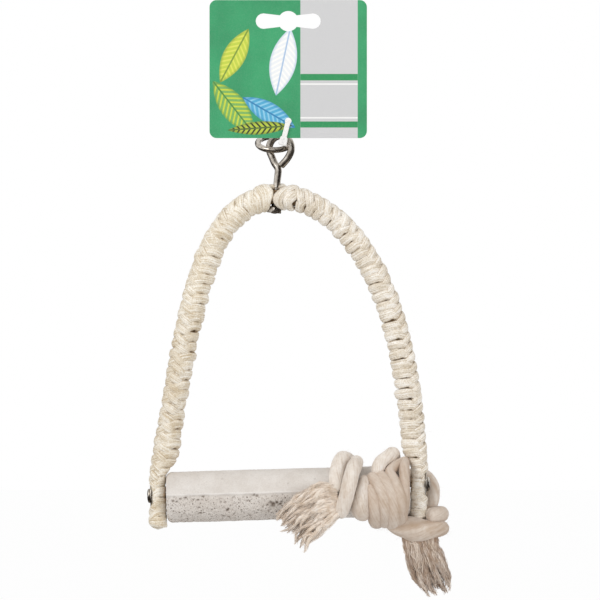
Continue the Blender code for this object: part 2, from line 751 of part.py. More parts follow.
tie_lean = math.atan2(-HANG_X, HANG_DROP)
tie_axis = empty("tie_axis", (0, 0, tie_hole_z), (0, tie_lean, 0))
perch_axis = empty("perch_axis", (0, swing_y, perch_z), (0, -perch_tilt, 0))

arch_knots = guide_knots()
guide_run = guide_lengths(arch_knots)
arch_guide = make_guide(arch_knots)

bolt_hole = cutter(cylinder("bolt_hole", BOLT_WIRE + 2 * SEAT_GAP, 4 * CORE_DIAMETER))
bolt_hole.location = bolt_crossing()
bolt_hole.rotation_euler = (0, bolt_lean, 0)

raises = (LEFT_SCREW_RAISE, RIGHT_SCREW_RAISE)
screw_holes = []
plug_pockets = []
washer_beds = []
for side, side_raise in zip((-1, 1), raises):
    side_label = "left" if side < 0 else "right"
    hole = cutter(cylinder("screw_hole_" + side_label, SCREW_SHANK + 2 * SEAT_GAP, 4 * foot_half,
                           segments=12, axis="X"), perch_axis)
    hole.location = (side * foot_x, 0, side_raise)
    screw_holes.append(hole)
    pocket = cutter(cylinder("plug_pocket_" + side_label, PLUG_DIAMETER + 2 * SEAT_GAP,
                             2 * (PLUG_LENGTH + SEAT_GAP), axis="X"), perch_axis)
    pocket.location = (side * PERCH_LENGTH / 2, 0, side_raise)
    plug_pockets.append(pocket)
    bed = cutter(cylinder("washer_bed_" + side_label, WASHER_DIAMETER + 2 * SEAT_GAP, 2 * foot_half,
                          segments=24, axis="X"), perch_axis)
    bed.location = (side * (washer_floor + foot_half), 0, side_raise)
    washer_beds.append(bed)

make_header_card()
make_cable_tie()
make_hanger_ring()
make_eye_bolt()
make_eye_nut()
make_arch_core()
bolt_top_x = bolt_crossing().x + wrap_outer * math.tan(bolt_lean)
bolt_run = guide_run[2] + bolt_top_x - CROWN_X
twine_stop = BOLT_WIRE / 2 + BOLT_GAP
make_sisal_wrap("sisal_wrap_left", LEFT_FOOT_LOW + LEFT_SCREW_RAISE,
                bolt_run - twine_stop - NUT_GAP, TWINE_THICKNESS + LEFT_TWINE_EXTRA, mirrored=False)
make_sisal_wrap("sisal_wrap_right", RIGHT_FOOT_LOW + RIGHT_SCREW_RAISE,
                guide_run[-1] - bolt_run - twine_stop, TWINE_THICKNESS, mirrored=True)
make_perch()
for side, side_raise in zip((-1, 1), raises):
    side_label = "left" if side < 0 else "right"
    make_plug("perch_plug_" + side_label, side, side_raise)
    make_fastener(side_label, side, side_raise)
make_rope()
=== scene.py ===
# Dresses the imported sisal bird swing: printed card, nylon tie, plated wire, wound twine,
# cast perch and knotted cotton rope. Sizes in the dictionaries are millimetres and degrees.
import math

import bmesh
import bpy
import numpy as np
from mathutils import Matrix, Vector
from mathutils.geometry import interpolate_bezier


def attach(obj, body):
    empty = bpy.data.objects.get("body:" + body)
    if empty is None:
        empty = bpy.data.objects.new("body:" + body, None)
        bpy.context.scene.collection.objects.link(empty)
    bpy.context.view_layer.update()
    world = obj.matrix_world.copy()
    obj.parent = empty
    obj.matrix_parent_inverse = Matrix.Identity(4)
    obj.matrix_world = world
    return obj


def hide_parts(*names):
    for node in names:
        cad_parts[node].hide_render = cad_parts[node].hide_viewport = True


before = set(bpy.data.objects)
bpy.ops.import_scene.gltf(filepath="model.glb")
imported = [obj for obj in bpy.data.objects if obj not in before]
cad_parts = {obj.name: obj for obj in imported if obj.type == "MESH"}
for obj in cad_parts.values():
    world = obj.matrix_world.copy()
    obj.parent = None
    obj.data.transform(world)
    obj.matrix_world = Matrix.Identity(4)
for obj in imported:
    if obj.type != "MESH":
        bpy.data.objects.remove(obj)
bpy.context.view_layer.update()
mm = 0.001
tau = math.tau


# number helpers

def smoothStep(value):
    value = np.clip(value, 0.0, 1.0)
    return value * value * (3 - 2 * value)


def softNoise(x, y, seed):  # smooth noise on arrays, -1 to 1
    x, y = np.broadcast_arrays(np.asarray(x, float), np.asarray(y, float))
    cellX, cellY = np.floor(x), np.floor(y)
    partX, partY = smoothStep(x - cellX), smoothStep(y - cellY)

    def dice(a, b):
        n = np.sin(a * 12.9898 + b * 78.233 + seed * 37.719) * 43758.5453
        return n - np.floor(n)

    low = dice(cellX, cellY) * (1 - partX) + dice(cellX + 1, cellY) * partX
    high = dice(cellX, cellY + 1) * (1 - partX) + dice(cellX + 1, cellY + 1) * partX
    return (low * (1 - partY) + high * partY) * 2 - 1


def spline(before, first, second, after, t):  # a point on an even curve from first to second
    pull = (second - before) * t + (before * 2 - first * 5 + second * 4 - after) * t ** 2
    return first + (pull + (first * 3 - before - second * 3 + after) * t ** 3) / 2


def smoothPath(stops, step):  # an even curve through the stops
    stops = [np.array(stop, float) for stop in stops]
    ends = [stops[0] * 2 - stops[1]] + stops + [stops[-1] * 2 - stops[-2]]
    path = [stops[0]]
    for before, first, second, after in zip(ends, ends[1:], ends[2:], ends[3:]):
        pieces = max(2, round(float(np.linalg.norm(second - first)) / step))
        path += [spline(before, first, second, after, k / pieces) for k in range(1, pieces + 1)]
    return np.array(path)


def squared(value, power):  # pulls a round section towards a box, and keeps the sign
    return np.sign(value) * np.abs(value) ** power


def runLengths(path):
    return np.concatenate([[0.0], np.cumsum(np.linalg.norm(np.diff(path, axis=0), axis=1))])


def pathFrames(path, closed=False):  # tangents and two cross directions, without twist
    if closed:
        tangents = np.roll(path, -1, axis=0) - np.roll(path, 1, axis=0)
    else:
        tangents = np.gradient(path, axis=0)
    tangents /= np.linalg.norm(tangents, axis=1)[:, None]
    side = np.cross(tangents[0], (0.31, 0.87, 0.38))
    sides = []
    for tangent in tangents:
        side = side - tangent * np.dot(side, tangent)
        side = side / np.linalg.norm(side)
        sides.append(side)
    sides = np.array(sides)
    return tangents, sides, np.cross(tangents, sides)


def evenTurns(count):  # angles evenly round a circle
    return np.arange(count) * tau / count


# mesh helpers: a store gathers grids, and one piece is made from it

def newStore():
    return dict(points=[], flow=[], tone=[], faces=[], count=0)


def addGrid(store, rings, flow, tone=0.0, closed=False):
    rows, sides = rings.shape[:2]
    index = np.arange(rows * sides).reshape(rows, sides) + store["count"]
    beside = np.roll(index, -1, axis=1)
    upper, upperBeside = np.roll(index, -1, axis=0), np.roll(beside, -1, axis=0)
    quads = np.stack([index, beside, upperBeside, upper], axis=-1)
    quads = quads if closed else quads[:-1]
    store["faces"] += quads.reshape(-1, 4).tolist()
    if not closed:
        store["faces"].append(index[0][::-1].tolist())
        store["faces"].append(index[-1].tolist())
    store["points"].append(rings.reshape(-1, 3))
    store["flow"].append(np.broadcast_to(flow, rings.shape).reshape(-1, 3))
    store["tone"].append(np.broadcast_to(tone, (rows, sides)).reshape(-1))
    store["count"] += rows * sides


def addTube(store, path, radius, sides, closed=False, tone=0.0, swell=None, lay=0.0):
    # radius may vary along the path; swell gives a factor by run length (mm) and angle;
    # lay turns the finish's grain about the path, in radians per mm
    path = np.asarray(path, float)
    across, over = pathFrames(path, closed)[1:]
    run = runLengths(path)
    angle = evenTurns(sides)
    radius = np.broadcast_to(radius, (len(path),))[:, None] * np.ones((1, sides))
    if swell is not None:
        radius = radius * swell(run[:, None], angle[None, :])
    first, second = radius * np.cos(angle), radius * np.sin(angle)
    rings = path[:, None] + across[:, None] * first[..., None] + over[:, None] * second[..., None]
    laid = angle + lay * run[:, None]
    alongRun = np.broadcast_to(run[:, None], first.shape)
    flow = np.stack([alongRun, radius * np.cos(laid), radius * np.sin(laid)], axis=-1)
    addGrid(store, rings * mm, flow * mm, tone, closed)


def roundEnds(run, radius, least=0.06):  # the share of the radius that makes both ends round
    share = np.ones_like(run)
    for gap in (run, run[-1] - run):
        inside = np.clip(gap / radius, 0, 1)
        share = share * np.sqrt(np.clip(1 - (1 - inside) ** 2, least ** 2, 1))
    return share


def addHair(store, root, heading, length, thickness, curl, dice, tone=0.0):
    heading = np.array(heading, float)
    heading /= np.linalg.norm(heading)
    bend = dice.normal(size=3) * curl
    t = np.linspace(0, 1, 5)[:, None]
    path = np.asarray(root, float) + heading * t * length + bend * t ** 2 * length
    addTube(store, path, thickness * np.linspace(1, 0.25, len(path)), 3, tone=tone)


def makePiece(name, store, finish, slot, body, *nodes):
    mesh = bpy.data.meshes.new(name)
    mesh.from_pydata(np.concatenate(store["points"]), [], store["faces"])
    mesh.attributes.new("flow", "FLOAT_VECTOR", "POINT")
    mesh.attributes["flow"].data.foreach_set("vector", np.concatenate(store["flow"]).ravel())
    mesh.attributes.new("tone", "FLOAT", "POINT")
    mesh.attributes["tone"].data.foreach_set("value", np.concatenate(store["tone"]))
    bm = bmesh.new()
    bm.from_mesh(mesh)
    bmesh.ops.recalc_face_normals(bm, faces=bm.faces)
    bm.to_mesh(mesh)
    bm.free()
    mesh.shade_smooth()
    mesh.set_sharp_from_angle(angle=math.radians(50))
    mesh.materials.append(finish)
    piece = bpy.data.objects.new(name, mesh)
    bpy.context.scene.collection.objects.link(piece)
    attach(piece, body)
    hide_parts(*nodes)
    print("made", name, len(mesh.polygons), "faces")


# material helpers

def shade(code):  # a hex colour as linear light
    parts = [int(code[k:k + 2], 16) / 255 for k in (0, 2, 4)]
    return tuple(c / 12.92 if c <= 0.04045 else ((c + 0.055) / 1.055) ** 2.4 for c in parts) + (1.0,)


def newFinish(name, roughness=0.6, metallic=0.0):
    finish = bpy.data.materials.new(name)
    finish.use_nodes = True
    tree = finish.node_tree
    skin = tree.nodes["Principled BSDF"]
    skin.inputs["Roughness"].default_value = roughness
    skin.inputs["Metallic"].default_value = metallic
    return finish, tree, skin


def feed(tree, socket, value):
    if isinstance(value, bpy.types.NodeSocket):
        tree.links.new(value, socket)
    else:
        socket.default_value = value


def calc(tree, operation, first, second=0.0):
    node = tree.nodes.new("ShaderNodeMath")
    node.operation = operation
    feed(tree, node.inputs[0], first)
    feed(tree, node.inputs[1], second)
    return node.outputs[0]


def times(tree, first, second):
    return calc(tree, "MULTIPLY", first, second)


def total(tree, *terms):  # a sum of values, each with its weight
    result = 0.0
    for value, weight in terms:
        result = calc(tree, "ADD", result, times(tree, value, weight))
    return result


def stretch(tree, vector, scale):
    node = tree.nodes.new("ShaderNodeVectorMath")
    node.operation = "MULTIPLY"
    tree.links.new(vector, node.inputs[0])
    node.inputs[1].default_value = scale if isinstance(scale, tuple) else (scale, scale, scale)
    return node.outputs[0]


def readMesh(tree, name, output):
    source = tree.nodes.new("ShaderNodeAttribute")
    source.attribute_name = name
    return source.outputs[output]


def readTone(tree):
    return readMesh(tree, "tone", "Fac")


def readFlow(tree, scale=1000):  # along and across a strand, in millimetres unless scaled otherwise
    return stretch(tree, readMesh(tree, "flow", "Vector"), scale)


def readPlace(tree, scale=1000):  # the row frame, in millimetres unless scaled otherwise
    source = tree.nodes.new("ShaderNodeTexCoord")
    return stretch(tree, source.outputs["Object"], scale)


def split(tree, vector):
    node = tree.nodes.new("ShaderNodeSeparateXYZ")
    tree.links.new(vector, node.inputs[0])
    return node.outputs


def grain(tree, vector, scale=1.0, detail=3.0, rough=0.55, twist=0.0):
    node = tree.nodes.new("ShaderNodeTexNoise")
    tree.links.new(vector, node.inputs["Vector"])
    for name, value in (("Scale", scale), ("Detail", detail), ("Roughness", rough), ("Distortion", twist)):
        node.inputs[name].default_value = value
    return node.outputs["Fac"]


def flowGrain(tree, scale, **kind):
    return grain(tree, readFlow(tree, scale), **kind)


def placeGrain(tree, scale, **kind):
    return grain(tree, readPlace(tree, scale), **kind)


def ramp(tree, value, *stops):
    node = tree.nodes.new("ShaderNodeValToRGB")
    feed(tree, node.inputs[0], value)
    band = node.color_ramp.elements
    while len(band) < len(stops):
        band.new(0.5)
    for element, (place, code) in zip(band, stops):
        element.position = place
        element.color = shade(code)
    return node.outputs[0]


def rangeOf(tree, value, low, high, newLow=0.0, newHigh=1.0):
    node = tree.nodes.new("ShaderNodeMapRange")
    node.interpolation_type = "SMOOTHSTEP"
    feed(tree, node.inputs[0], value)
    for socket, number in zip(node.inputs[1:5], (low, high, newLow, newHigh)):
        socket.default_value = number
    return node.outputs[0]


def blendColour(tree, share, first, second):
    node = tree.nodes.new("ShaderNodeMix")
    node.data_type = "RGBA"
    feed(tree, node.inputs[0], share)
    feed(tree, node.inputs[6], first)
    feed(tree, node.inputs[7], second)
    return node.outputs[2]


def tint(tree, share, colour, code):  # a share of a hex colour over the colour
    return blendColour(tree, share, colour, shade(code))


def wear(tree, skin, colour, rough):
    tree.links.new(colour, skin.inputs["Base Color"])
    tree.links.new(rough, skin.inputs["Roughness"])


def settle(skin, **values):  # sheenWeight=0.1 sets the socket Sheen Weight
    for name, value in values.items():
        words = "".join(" " + letter if letter.isupper() else letter for letter in name)
        skin.inputs[words.title()].default_value = value


def bump(tree, skin, *layers):  # each layer: its height, strength, and depth in millimetres
    for height, strength, depth in layers:
        node = tree.nodes.new("ShaderNodeBump")
        node.inputs["Strength"].default_value = strength
        node.inputs["Distance"].default_value = depth * mm
        tree.links.new(height, node.inputs["Height"])
        old = skin.inputs["Normal"].links
        if old:
            tree.links.new(old[0].from_socket, node.inputs["Normal"])
        tree.links.new(node.outputs[0], skin.inputs["Normal"])


# camera, light, floor and backdrop

view = dict(distance=2500.0, middleX=5.8, middleZ=-142.3, seenWidth=295.4, sensor=36.0)
# lamps, their target, the paper's reach and the screens are in metres; a screen: its first and last turn
# (0 is the front, 90 the right), then radius and height of its lower and its upper edge
light = dict(world=0.645, worldColour=(1.0, 0.995, 0.985, 1.0), paper=(0.86, 0.86, 0.86, 1.0),
             paperWhite=0.97, paperReach=6.0, floorDrop=460.0, target=(0, 0, -0.15),
             screenColour=(0.055, 0.047, 0.042, 1.0),
             lamps=dict(key=dict(power=30.5, size=1.3, place=(-1.8, -2.0, 1.25), glints=True),
                        fill=dict(power=15.0, size=1.6, place=(1.9, -1.7, 0.3), glints=False)),
             screens=((4, 104, 3.0, -0.44, 3.0, 2.2), (-165, -128, 3.0, -0.44, 3.0, 2.2),
                      (-180, 180, 0.02, -0.44, 3.0, -0.44)))


def setCamera():
    data = bpy.data.cameras.new("photoCamera")
    data.sensor_width = view["sensor"]
    data.lens = view["sensor"] * view["distance"] / view["seenWidth"]
    data.clip_end = 50.0
    camera = bpy.data.objects.new("photoCamera", data)
    camera.location = Vector((view["middleX"], -view["distance"], view["middleZ"])) * mm
    camera.rotation_euler = (math.radians(90), 0, 0)
    bpy.context.scene.collection.objects.link(camera)
    bpy.context.scene.camera = camera
    bpy.context.scene.view_settings.view_transform = "Standard"


def showWhite(tree, output, shader, whiteKind, share):
    # white where the camera sees it, straight, mirrored or through a piece; the true light elsewhere
    path = tree.nodes.new("ShaderNodeLightPath")
    seen = calc(tree, "MAXIMUM", path.outputs["Is Camera Ray"], path.outputs["Is Glossy Ray"])
    seen = calc(tree, "MAXIMUM", seen, path.outputs["Is Transmission Ray"])
    white = tree.nodes.new(whiteKind)
    white.inputs["Color"].default_value = (1, 1, 1, 1)
    mix = tree.nodes.new("ShaderNodeMixShader")
    for socket, source in zip(mix.inputs, (times(tree, seen, share), shader, white.outputs[0])):
        tree.links.new(source, socket)
    tree.links.new(mix.outputs[0], tree.nodes[output].inputs["Surface"])


def stageMesh(name, points, faces, finish):
    mesh = bpy.data.meshes.new(name)
    mesh.from_pydata(points, [], faces)
    mesh.materials.append(finish)
    piece = bpy.data.objects.new(name, mesh)
    bpy.context.scene.collection.objects.link(piece)
    return piece


def setWorld():
    world = bpy.data.worlds.new("studioWorld")
    bpy.context.scene.world = world
    world.use_nodes = True
    tree = world.node_tree
    ambient = tree.nodes["Background"]
    ambient.inputs["Color"].default_value = light["worldColour"]
    ambient.inputs["Strength"].default_value = light["world"]
    showWhite(tree, "World Output", ambient.outputs[0], "ShaderNodeBackground", 1.0)


def setFloor():
    paper, tree, skin = newFinish("paperFloor", 0.9)
    skin.inputs["Base Color"].default_value = light["paper"]
    showWhite(tree, "Material Output", skin.outputs[0], "ShaderNodeEmission", light["paperWhite"])
    reach, low = light["paperReach"], -light["floorDrop"] * mm
    corners = [(-reach, -reach, low), (reach, -reach, low), (reach, reach, low), (-reach, reach, low)]
    floor = stageMesh("paperFloor", corners, [(0, 1, 2, 3)], paper)


def setScreens():  # dark screens round the stage and a dark table, seen only in reflections
    dark, tree, skin = newFinish("darkScreen", 1.0)
    skin.inputs["Base Color"].default_value = light["screenColour"]
    for start, stop, near, low, far, high in light["screens"]:
        turns = np.radians(np.linspace(start, stop, 13))
        edges = ((near, low), (far, high))
        points = [(r * math.sin(a), -r * math.cos(a), z) for a in turns for r, z in edges]
        faces = [(k, k + 2, k + 3, k + 1) for k in range(0, 2 * len(turns) - 2, 2)]
        screen = stageMesh("darkScreen", points, faces, dark)
        screen.visible_camera = False
        screen.visible_diffuse = False
        screen.visible_shadow = False


def setLamps():
    for name, kind in light["lamps"].items():
        data = bpy.data.lights.new(name, "AREA")
        data.shape = "DISK"
        data.size = kind["size"]
        data.energy = kind["power"]
        lamp = bpy.data.objects.new(name, data)
        lamp.location = kind["place"]
        lamp.visible_glossy = kind["glints"]  # the fill draws no streak on the plated wire
        lamp.rotation_euler = (Vector(light["target"]) - lamp.location).to_track_quat("-Z", "Y").to_euler()
        bpy.context.scene.collection.objects.link(lamp)


# finishes

def sisalFinish(name, dark, mid, pale, gap):
    finish, tree, skin = newFinish(name, 0.6)
    fine = flowGrain(tree, (55, 2900, 2900), detail=3.0)
    lines = flowGrain(tree, (40, 1150, 1150), detail=2.0, twist=0.3)
    broad = flowGrain(tree, (70, 420, 420), detail=2.0)
    patch = placeGrain(tree, 130, detail=2.0)
    speck = placeGrain(tree, 1500, detail=2.0, rough=0.7)
    mixed = total(tree, (fine, 0.36), (lines, 0.14), (broad, 0.08), (patch, 0.18), (speck, 0.24))
    colour = ramp(tree, mixed, (0.42, dark), (0.50, mid), (0.565, pale))
    # painted shade by the mesh's tone, at the bands' edges and pinches and on the hitches' sides
    colour = tint(tree, rangeOf(tree, readTone(tree), 0.3, 1.0, 0.0, 0.85), colour, gap)
    wear(tree, skin, colour, rangeOf(tree, fine, 0.3, 0.7, 0.7, 0.45))
    settle(skin, sheenWeight=0.1, sheenRoughness=0.4)
    bump(tree, skin, (lines, 0.5, 0.35), (fine, 0.8, 0.24), (speck, 0.7, 0.3))
    return finish


def cottonFinish(name, dark, mid, pale, deep, streak=900):
    finish, tree, skin = newFinish(name, 0.92)
    fine = flowGrain(tree, (60, streak, streak), detail=4.0, twist=0.4)
    fluff = placeGrain(tree, 420, detail=5.0, rough=0.65)
    patch = placeGrain(tree, 90, detail=2.0)
    crease = flowGrain(tree, (110, 1500, 1500), detail=2.0, twist=0.6)
    felt = placeGrain(tree, 1300, detail=3.0, rough=0.7, twist=0.5)
    mixed = total(tree, (fine, 0.3), (fluff, 0.4), (patch, 0.3))
    colour = ramp(tree, mixed, (0.38, dark), (0.5, mid), (0.62, pale))
    # painted shade by the mesh's tone
    colour = tint(tree, rangeOf(tree, readTone(tree), 0.0, 1.0, 0.0, 0.75), colour, deep)
    # painted shade in the creases
    colour = tint(tree, rangeOf(tree, crease, 0.55, 0.68, 0.0, 0.3), colour, deep)
    tree.links.new(colour, skin.inputs["Base Color"])
    settle(skin, sheenWeight=0.3, sheenRoughness=0.6)
    bump(tree, skin, (fluff, 0.4, 0.3), (crease, 0.25, 0.3), (felt, 0.5, 0.25), (fine, 0.25, 0.3))
    return finish


def nickelFinish():
    finish, tree, skin = newFinish("brightNickel", 0.2, 1.0)
    cloud = placeGrain(tree, 300, detail=4.0)
    draw = placeGrain(tree, (1400, 1400, 240), detail=3.0)
    colour = ramp(tree, cloud, (0.3, "8E867C"), (0.55, "C9C2B8"), (0.75, "DAD5CD"))
    colour = tint(tree, rangeOf(tree, readTone(tree), 0.2, 1.0, 0.0, 0.85), colour, "3A322B")  # painted shade on the nut's top and in the screws' recesses; also darker along the bolt's thread and a little darker over the screws
    wear(tree, skin, colour, rangeOf(tree, draw, 0.3, 0.75, 0.14, 0.36))
    bump(tree, skin, (draw, 0.12, 0.05))
    return finish


def nylonFinish():
    finish, tree, skin = newFinish("milkyNylon", 0.38)
    cloud = placeGrain(tree, 600, detail=3.0)
    colour = ramp(tree, cloud, (0.3, "E9E8E6"), (0.7, "F7F6F4"))
    wear(tree, skin, colour, rangeOf(tree, cloud, 0.3, 0.7, 0.3, 0.48))
    settle(skin, subsurfaceWeight=0.25, subsurfaceRadius=(mm, mm, mm), subsurfaceScale=1.0)
    bump(tree, skin, (cloud, 0.15, 0.05))
    return finish


def mineralFinish():
    finish, tree, skin = newFinish("castMineral", 0.9)
    place = readPlace(tree)
    height = split(tree, readFlow(tree))[2]  # over the perch's axis
    cloud = grain(tree, place, 0.10, 4.0, 0.6)
    sand = grain(tree, place, 1.5, 5.0, 0.7)
    fleck = grain(tree, place, 2.6, 2.0, 0.5)
    lower = rangeOf(tree, height, -0.6, 1.2, 1.0, 0.0)
    colour = ramp(tree, cloud, (0.3, "D8D1CA"), (0.5, "E0DAD4"), (0.7, "E7E2DD"))
    colour = tint(tree, times(tree, lower, 0.08), colour, "CDBCAB")
    crest = calc(tree, "ABSOLUTE", calc(tree, "SUBTRACT", height, 1.7))  # painted highlight along the parting line's crest
    colour = tint(tree, rangeOf(tree, crest, 0.1, 0.7, 0.55, 0.0), colour, "F6F2EE")
    # painted shade: dark spots for small holes, mostly in the lower half
    holeShade = times(tree, rangeOf(tree, grain(tree, place, 1.7, 1.0), 0.60, 0.66, 0.0, 0.75), lower)
    colour = tint(tree, holeShade, colour, "85766A")
    worn = calc(tree, "ADD", times(tree, lower, 0.16), 0.14)
    colour = tint(tree, times(tree, rangeOf(tree, sand, 0.38, 0.62, 1.0, 0.0), worn), colour, "AFA092")
    colour = tint(tree, rangeOf(tree, fleck, 0.66, 0.72, 0.0, 0.3), colour, "9A8C7E")
    colour = tint(tree, pitShadeShare(tree, place, lower), colour, "6A5B50")
    # painted shade from the mesh's tone: pits, the torn lower half and the grooves under the parting ridges;
    # the tone also carries one real stain
    colour = tint(tree, rangeOf(tree, readTone(tree), 0.0, 1.0, 0.0, 0.85), colour, "7A6C60")
    wear(tree, skin, colour, rangeOf(tree, sand, 0.3, 0.7, 0.96, 0.8))
    bump(tree, skin, (sand, 0.6, 0.3), (fleck, 0.2, 0.15))
    return finish


def pitShadeShare(tree, place, lower):  # crisp pits of many sizes, most of them in the lower half, painted as spots of shade
    cells = tree.nodes.new("ShaderNodeTexVoronoi")
    cells.inputs["Scale"].default_value = 0.75
    tree.links.new(place, cells.inputs["Vector"])
    chance = tree.nodes.new("ShaderNodeSeparateColor")
    tree.links.new(cells.outputs["Color"], chance.inputs[0])
    near = calc(tree, "SUBTRACT", cells.outputs["Distance"], times(tree, chance.outputs[0], 0.26))
    often = calc(tree, "ADD", times(tree, lower, 0.9), 0.08)
    return times(tree, rangeOf(tree, near, 0.02, 0.09, 0.9, 0.0), often)


def woodFinish(name, scale, kind, dark, pale, rough, relief):
    finish, tree, skin = newFinish(name)
    line = placeGrain(tree, scale, **kind)
    wear(tree, skin, ramp(tree, line, (0.35, dark), (0.65, pale)), rangeOf(tree, line, 0.3, 0.7, *rough))
    bump(tree, skin, (line, *relief))
    return finish


# printed card: green ground, grey panel with two bars, and a spray of leaves

# each leaf: its middle, turn, length, width, then the colours of its body, ribs and vein
cardPrint = dict(ground="37A46C", groundDeep="2F9662", panel="CECECF", bar="259457", line="F4F4F2",
                 lineHalf=0.35, panelLeft=6.0, panelRight=34.2, bars=((-31.0, -34.2), (-54.4, -57.4)),
                 lines=(-36.0, -52.6), soft=0.12, face=(-0.29, -0.25), ribs=(2.4, 2.0), vein=(0.25, 0.5),
                 rim=1.6,
                 leaves=((-26.5, -22.0, 62, 30.0, 11.0, "C3D344", "DDE25A", "7C9A35"),
                         (-2.5, -25.0, 78, 34.0, 13.0, "EEF1F3", "FBFAF7", "A9C4E2"),
                         (-27.0, -47.5, 128, 33.0, 12.5, "7DB45C", "C9D63F", "4B8B3C"),
                         (-9.5, -50.0, 150, 30.0, 10.0, "4FAAD3", "8CCBE6", "2A7FB4"),
                         (-14.0, -57.6, 4, 32.0, 6.4, "B7C93A", "27351F", "55702B")))


def inside(tree, value, low, high):  # 1 between low and high
    soft = cardPrint["soft"]
    up = rangeOf(tree, value, low - soft, low + soft)
    return times(tree, up, rangeOf(tree, value, high - soft, high + soft, 1.0, 0.0))


def printLeaf(tree, colour, x, z, leaf):
    midX, midZ, turn, long, wide, body, ribs, vein = leaf
    cosine, sine = math.cos(math.radians(turn)), math.sin(math.radians(turn))
    fromX, fromZ = calc(tree, "SUBTRACT", x, midX), calc(tree, "SUBTRACT", z, midZ)
    along = total(tree, (fromX, cosine), (fromZ, sine))
    away = calc(tree, "ABSOLUTE", total(tree, (fromZ, cosine), (fromX, -sine)))
    reach = calc(tree, "DIVIDE", along, long / 2)
    room = times(tree, calc(tree, "SUBTRACT", 1.0, times(tree, reach, reach)), wide / 2)
    margin = calc(tree, "SUBTRACT", room, away)
    slant = total(tree, (along, cardPrint["ribs"][0]), (away, cardPrint["ribs"][1]))
    rib = rangeOf(tree, calc(tree, "SINE", slant), 0.1, 0.5)
    ink = blendColour(tree, rib, shade(body), shade(ribs))
    ink = tint(tree, rangeOf(tree, away, *cardPrint["vein"], 1.0, 0.0), ink, vein)
    ink = tint(tree, rangeOf(tree, margin, 0.0, cardPrint["rim"], 0.55, 0.0), ink, vein)
    return blendColour(tree, rangeOf(tree, margin, -cardPrint["soft"], cardPrint["soft"]), colour, ink)


def cardFinish():
    finish, tree, skin = newFinish("printedCard", 0.42)
    place = readPlace(tree)
    x, depth, z = split(tree, place)
    dots = grain(tree, place, 2.2, 3.0)
    cloud = grain(tree, place, 0.05, 2.0)
    colour = ramp(tree, cloud, (0.35, cardPrint["groundDeep"]), (0.65, cardPrint["ground"]))
    for leaf in cardPrint["leaves"]:
        colour = printLeaf(tree, colour, x, z, leaf)
    panel = inside(tree, x, cardPrint["panelLeft"], cardPrint["panelRight"])
    colour = tint(tree, panel, colour, cardPrint["panel"])
    for high, low in cardPrint["bars"]:
        colour = tint(tree, times(tree, panel, inside(tree, z, low, high)), colour, cardPrint["bar"])
    for middle in cardPrint["lines"]:
        mark = inside(tree, z, middle - cardPrint["lineHalf"], middle + cardPrint["lineHalf"])
        colour = tint(tree, times(tree, panel, mark), colour, cardPrint["line"])
    colour = tint(tree, rangeOf(tree, dots, 0.4, 0.7, 0.0, 0.03), colour, "FFFFFF")
    front = rangeOf(tree, depth, *cardPrint["face"], 1.0, 0.0)  # print on the front face only
    board = ramp(tree, dots, (0.3, "E4E1DA"), (0.7, "F3F1EC"))
    rough = calc(tree, "ADD", times(tree, front, -0.3), rangeOf(tree, dots, 0.3, 0.7, 0.7, 0.78))
    wear(tree, skin, blendColour(tree, front, board, colour), rough)
    settle(skin, coatWeight=0.15, coatRoughness=0.25)
    bump(tree, skin, (cloud, 0.25, 0.4), (dots, 0.06, 0.05))
    return finish


def dressNode(name, finish):
    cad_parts[name].data.materials.clear()
    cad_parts[name].data.materials.append(finish)
    print("dressed", name)


# cable tie: strap loop through the card and round the eye, with its ratchet head

tie = dict(holeZ=-54.2, lean=14.04, width=2.5, thick=1.0, reach=7.834, face=1.1, rest=-0.2, shoulder=0.5,
           eyeY=4.8, deep=3.614, tall=3.15, eyeTurns=(45, 15, -15, -45, -75, -90), notch=0.10, headY=-2.0,
           headDrop=10.18, headRise=4.5, headSize=(4.1, 2.8, 4.5), headRound=0.32, headTaper=0.14,
           window=0.45)


def tieLoop():  # the strap's middle line, in the plane across the card
    face, rest, low = tie["face"], tie["rest"], -tie["reach"] - tie["tall"]
    ledge = rest - tie["shoulder"]
    stops = [(-face, ledge), (-face / 2, rest), (face / 2, rest), (face, ledge)]
    for turn in np.radians(tie["eyeTurns"]):
        y, z = tie["deep"] * math.cos(turn), tie["tall"] * math.sin(turn)
        stops.append((tie["eyeY"] + y, z - tie["reach"]))
    stops = np.array(stops + [(tie["headY"], low), (-face, low + tie["headRise"])])
    path = []
    for k in range(len(stops)):
        four = [stops[(k + j) % len(stops)] for j in (-1, 0, 1, 2)]
        path += [spline(*four, t) for t in np.linspace(0, 1, 8, endpoint=False)]
    return np.array([(0.0, y, z) for y, z in path])


def tieHead():  # a rounded box, sunk at the strap's window
    wide, deep, high = (v / 2 for v in tie["headSize"])
    up = np.linspace(-math.pi / 2, math.pi / 2, 22)[:, None]
    around, power = evenTurns(40), tie["headRound"]
    shrink = np.abs(np.cos(up)) ** power
    boxX = shrink * squared(np.cos(around), power) * wide
    boxY = shrink * squared(np.sin(around), power) * deep
    boxZ = squared(np.sin(up), power) * high * np.ones_like(boxX)
    boxX = boxX * (1 - tie["headTaper"] * (boxZ > 0) * boxZ / high)
    window = (boxY < -deep * 0.9) & (np.abs(boxX) < wide * 0.5) & (np.abs(boxZ) < high * 0.45)
    return np.stack([boxX, boxY + tie["window"] * window + tie["headY"], boxZ - tie["headDrop"]], axis=-1)


